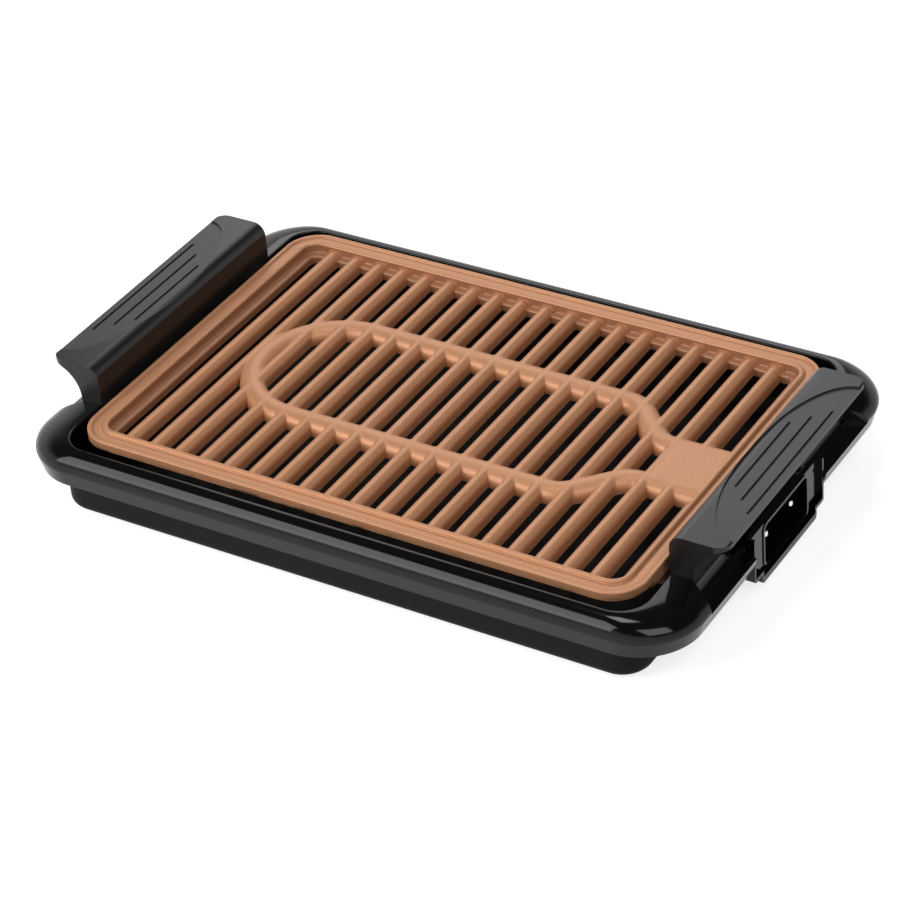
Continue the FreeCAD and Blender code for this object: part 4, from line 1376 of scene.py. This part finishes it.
@dataclass
class InletSurround:
    """The stepped panel around the power inlet: a recessed face, a collar and a slotted cup behind it."""

    looks: Looks
    # The panel, in X for its face, in half widths and in heights
    face: float = 209.0
    thick: float = 5.6
    half: float = 42.0
    narrow: float = 33.0
    base: float = 7.5
    step: float = 13.5
    top: float = 42.0
    corner: float = 2.0
    recess: float = 2.6
    border: float = 1.6
    recess_base: float = 11.4
    recess_step: float = 15.7
    # The mouth's half width and half height, and the collar round it
    mouth: Pair = (25.5, 12.75)
    mouth_corner: float = 3.5
    mouth_height: float = 27.25
    collar_wall: float = 1.6
    collar_lip: float = 0.6
    collar_start: float = 199.0
    # The cup, the slots in its back wall and how far the changes overlap or reach past each other
    cup_start: float = 188.0
    cup_half: float = 26.4
    cup_height: Pair = (12.9, 32.5)
    cup_wall: float = 1.5
    cup_overlap: float = 0.2
    pin_y: float = 15.2
    slot_half: Pair = (2.8, 3.8)
    slot_height: Pair = (20.2, 30.4)
    past_slot: float = 2.0
    past_face: float = 3.0
    edge: float = 0.4

    def panel(self) -> list[Point2]:
        """Return the panel's stepped outline.

        Returns:
            Its points in Y and height.
        """
        corner = self.corner
        right = arc((self.narrow - corner, self.base + corner), corner, -90.0, 0.0)
        right.append((self.narrow, self.step))
        right += arc((self.half - corner, self.step + corner), corner, -90.0, 0.0)
        right.append((self.half, self.top))
        return both_sides(right)

    def hollow(self) -> list[Point2]:
        """Return the face recess's outline, open at the top.

        Returns:
            Its points in Y and height.
        """
        narrow, half = self.narrow - self.border, self.half - self.border
        right = [(narrow, self.recess_base), (narrow, self.recess_step), (half, self.recess_step),
                 (half, self.top + self.border)]
        return both_sides(right)

    def opening(self, grow: float) -> list[Point2]:
        """Return the mouth's rounded outline.

        Args:
            grow: How much it is grown on all sides.

        Returns:
            Its points in Y and height.
        """
        wide, high = self.mouth
        outline = rounded_outline(wide + grow, high + grow, self.mouth_corner + grow)
        return [(y, z + self.mouth_height) for y, z in outline]

    @staticmethod
    def box(centre: float, half: float, low: float, high: float) -> list[Point2]:
        """Return a rectangle in Y and height, between two heights."""
        return [(centre - half, low), (centre + half, low), (centre + half, high), (centre - half, high)]

    def steps(self) -> Steps:
        """Make the changes that turn the plain panel into the surround.

        Returns:
            The changes, in order.
        """
        wall, start = self.cup_wall, self.cup_start
        floor, front, face = self.collar_start + wall, self.face + self.past_face, self.face - self.recess
        low, high = self.cup_height
        cup = self.box(0.0, self.cup_half, low, high)
        inside = self.box(0.0, self.cup_half - wall, low + wall, high - wall)
        collar = self.opening(self.collar_wall)
        steps = [(Change.CUT, slab("face_recess", self.hollow(), face, front)),
                 (Change.ADD, slab("collar", collar, self.collar_start, face + self.collar_lip)),
                 (Change.CUT, slab("mouth", self.opening(0.0), floor, front)),
                 (Change.ADD, slab("cup", cup, start, floor - self.cup_overlap)),
                 (Change.CUT, slab("cup_inside", inside, start + wall, floor + self.cup_overlap))]
        pin, probe = self.slot_half
        slots = (("front_slot", -self.pin_y, pin), ("probe_slot", 0.0, probe), ("back_slot", self.pin_y, pin))
        for name, centre, half in slots:
            cut = self.box(centre, half, *self.slot_height)
            steps.append((Change.CUT, slab(name, cut, start - self.past_slot, start + wall + self.past_slot)))
        return steps

    def build(self) -> None:
        """Make the surround and let it stand for its CAD node."""
        plain = slab("surround", self.panel(), self.face - self.thick, self.face)
        mesh = plain.data
        bpy.data.objects.remove(plain)
        mesh = bevelled(carve(mesh, self.steps()), self.edge)
        wear(mesh, self.looks.materials[Slot.GLOSS])
        add_piece("inlet_surround", mesh, Body.FRAME, Slot.GLOSS, "socket_surround")


@dataclass
class Handles:
    """The raised handles: copies of their CAD nodes with rounded edges, and the left one's clip heads."""

    looks: Looks
    edge: float = 0.45
    flat_angle: float = 0.5
    # The clip heads: half width and half height, height over the wall, root inside it, shoulder and chamfer
    clip_half: Pair = (1.7, 1.3)
    clip_rise: float = 0.5
    clip_root: float = 0.5
    clip_shoulder: float = 0.6
    clip_chamfer: float = 0.4
    clip_x: float = -182.4
    clip_y: Pair = (-67.0, 73.0)
    clip_z: float = 46.0

    def soften(self, node: str) -> None:
        """Make a softened copy of a handle and let it stand for the handle.

        Args:
            node: The handle's CAD node.
        """
        mesh = frame["nodes"][node].data.copy()
        shape = bmesh.new()
        shape.from_mesh(mesh)
        bmesh.ops.remove_doubles(shape, verts=shape.verts, dist=MERGE_DISTANCE * MM)
        flat = math.radians(self.flat_angle)
        bmesh.ops.dissolve_limit(shape, angle_limit=flat, verts=shape.verts, edges=shape.edges)
        shape.to_mesh(mesh)
        shape.free()
        add_piece(f"{node}_moulding", bevelled(mesh, self.edge), Body.FRAME, Slot.HANDLE, node)

    def clips(self) -> None:
        """Make the two small clip heads at the foot of the left handle's inner wall."""
        wide, high = self.clip_half
        corners = ((-1, -1), (1, -1), (1, 1), (-1, 1))
        rings = ((-self.clip_root, 0.0), (self.clip_rise * self.clip_shoulder, 0.0),
                 (self.clip_rise, self.clip_chamfer))
        points, faces = [], []
        for y in self.clip_y:
            faces += stack_faces(len(corners), len(rings), len(points))
            for out, inset in rings:
                half_y, half_z = wide - inset, high - inset
                points += [(self.clip_x + out, y + side_y * half_y, self.clip_z + side_z * half_z)
                           for side_y, side_z in corners]
        mesh = mesh_of("left_handle_clips", points, faces, self.looks.materials[Slot.HANDLE])
        add_piece("left_handle_clips", mesh, Body.FRAME, Slot.HANDLE)

    def build(self) -> None:
        """Soften the handles and add the left one's clips."""
        for end in End:
            self.soften(f"{end.word}_handle")
        self.clips()


@dataclass(frozen=True)
class SoftBox:
    """A rectangular soft box, turned to a point, with its power in watts."""

    name: str
    place: Point3
    aim: Point3
    size: Pair
    power: float

    def hang(self) -> None:
        """Hang the soft box in the scene."""
        data = bpy.data.lights.new(self.name, "AREA")
        data.shape = "RECTANGLE"
        data.size, data.size_y = self.size
        data.energy = self.power
        item = put_in_scene(self.name, data)
        item.location = self.place
        item.rotation_euler = (Vector(self.aim) - Vector(self.place)).to_track_quat("-Z", "Y").to_euler()


SOFT_BOXES: tuple[SoftBox, ...] = (
    SoftBox("overhead", (-0.2, 0.1, 1.7), (0.0, 0.0, 0.0), (0.5, 0.5), 5.5),
    SoftBox("front_left", (-0.8, -1.22, 0.98), (0.0, 0.0, 0.03), (1.2, 1.2), 19.0),
    SoftBox("front_right", (0.95, -0.55, 1.25), (0.0, 0.0, 0.04), (0.9, 0.8), 8.0),
    SoftBox("back", (-0.6, 1.1, 0.95), (0.0, 0.0, 0.04), (0.9, 0.7), 4.5),
)


@dataclass
class Studio:
    """Camera, soft boxes, floor and background."""

    # The camera: lens and sensor in millimetres, its place, and its axes in the frame
    lens: float = 127.71
    sensor: float = 36.0
    place: Point3 = (0.82208, -1.23730, 1.05365)
    right: Point3 = (0.85641, 0.51113, -0.07275)
    up: Point3 = (-0.24395, 0.52482, 0.81550)
    ahead: Point3 = (-0.45501, 0.68067, -0.57416)
    # The background's light, and the heights of direction between which its mirrored white fades
    ambient: float = 0.06
    backdrop_fade: Pair = (0.3, 0.6)
    floor_half: float = 6.0
    floor_tone: float = 0.5
    floor_lift: float = 0.8
    floor_roughness: float = 0.9

    def camera(self) -> None:
        """Place the camera as the photo's."""
        data = bpy.data.cameras.new("camera")
        data.lens = self.lens
        data.sensor_width = self.sensor
        item = put_in_scene("camera", data)
        axes = Matrix((self.right, self.up, tuple(-part for part in self.ahead))).transposed()
        item.matrix_world = Matrix.Translation(self.place) @ axes.to_4x4()
        bpy.context.scene.camera = item

    @staticmethod
    def seen(kit: NodeKit) -> bpy.types.NodeSocket:
        """Return 1 where the camera sees the background, straight, mirrored or through something clear.


        Returns:
            The mask.
        """
        path = kit.add("ShaderNodeLightPath")
        mirrored = kit.maths("MAXIMUM", path.outputs["Is Glossy Ray"], path.outputs["Is Transmission Ray"])
        return kit.maths("MAXIMUM", path.outputs["Is Camera Ray"], mirrored)

    def world(self) -> None:
        """Show the camera white, mirrors a white that fades upwards, and everything else an even dim grey."""
        world = bpy.data.worlds.new("studio")
        world.use_nodes = True
        bpy.context.scene.world = world
        kit = NodeKit(world.node_tree)
        straight = kit.add("ShaderNodeLightPath").outputs["Is Camera Ray"]
        direction = kit.add("ShaderNodeTexCoord").outputs["Generated"]
        upward = kit.add("ShaderNodeSeparateXYZ", Vector=direction).outputs["Z"]
        low = kit.maths("SUBTRACT", 1.0, kit.ramp(upward, *self.backdrop_fade))
        white = kit.maths("MAXIMUM", straight, kit.maths("MULTIPLY", self.seen(kit), low))
        back = world.node_tree.nodes["Background"]
        kit.feed(back.inputs["Color"], kit.mix(white, rgba((self.ambient,) * 3), rgba(WHITE)))

    def floor(self) -> None:
        """Lay a pale floor that looks white and keeps the object's shadow."""
        half = self.floor_half
        mesh = bpy.data.meshes.new("floor")
        corners = [(-half, -half, 0), (half, -half, 0), (half, half, 0), (-half, half, 0)]
        mesh.from_pydata(corners, [], [(0, 1, 2, 3)])
        material = bpy.data.materials.new("floor")
        material.use_nodes = True
        kit = NodeKit(material.node_tree)
        glow = kit.maths("MULTIPLY", self.seen(kit), self.floor_lift)
        kit.fill(material.node_tree.nodes["Principled BSDF"], {
            "Base Color": rgba((self.floor_tone,) * 3), "Roughness": self.floor_roughness,
            "Specular IOR Level": 0.0, "Emission Color": rgba(WHITE), "Emission Strength": glow})
        mesh.materials.append(material)
        put_in_scene("floor", mesh)

    def build(self) -> None:
        """Set the whole studio up."""
        bpy.context.scene.view_settings.view_transform = "Standard"
        self.camera()
        self.world()
        self.floor()
        for soft_box in SOFT_BOXES:
            soft_box.hang()


def main() -> None:
    """Build the grill's looks and the studio around it."""
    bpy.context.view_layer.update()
    looks = Looks()
    looks.dress()
    GrillPlate(looks).build()
    BrimFrame(looks).build()
    InletSurround(looks).build()
    Handles(looks).build()
    Studio().build()


if __name__ == "__main__":
    main()
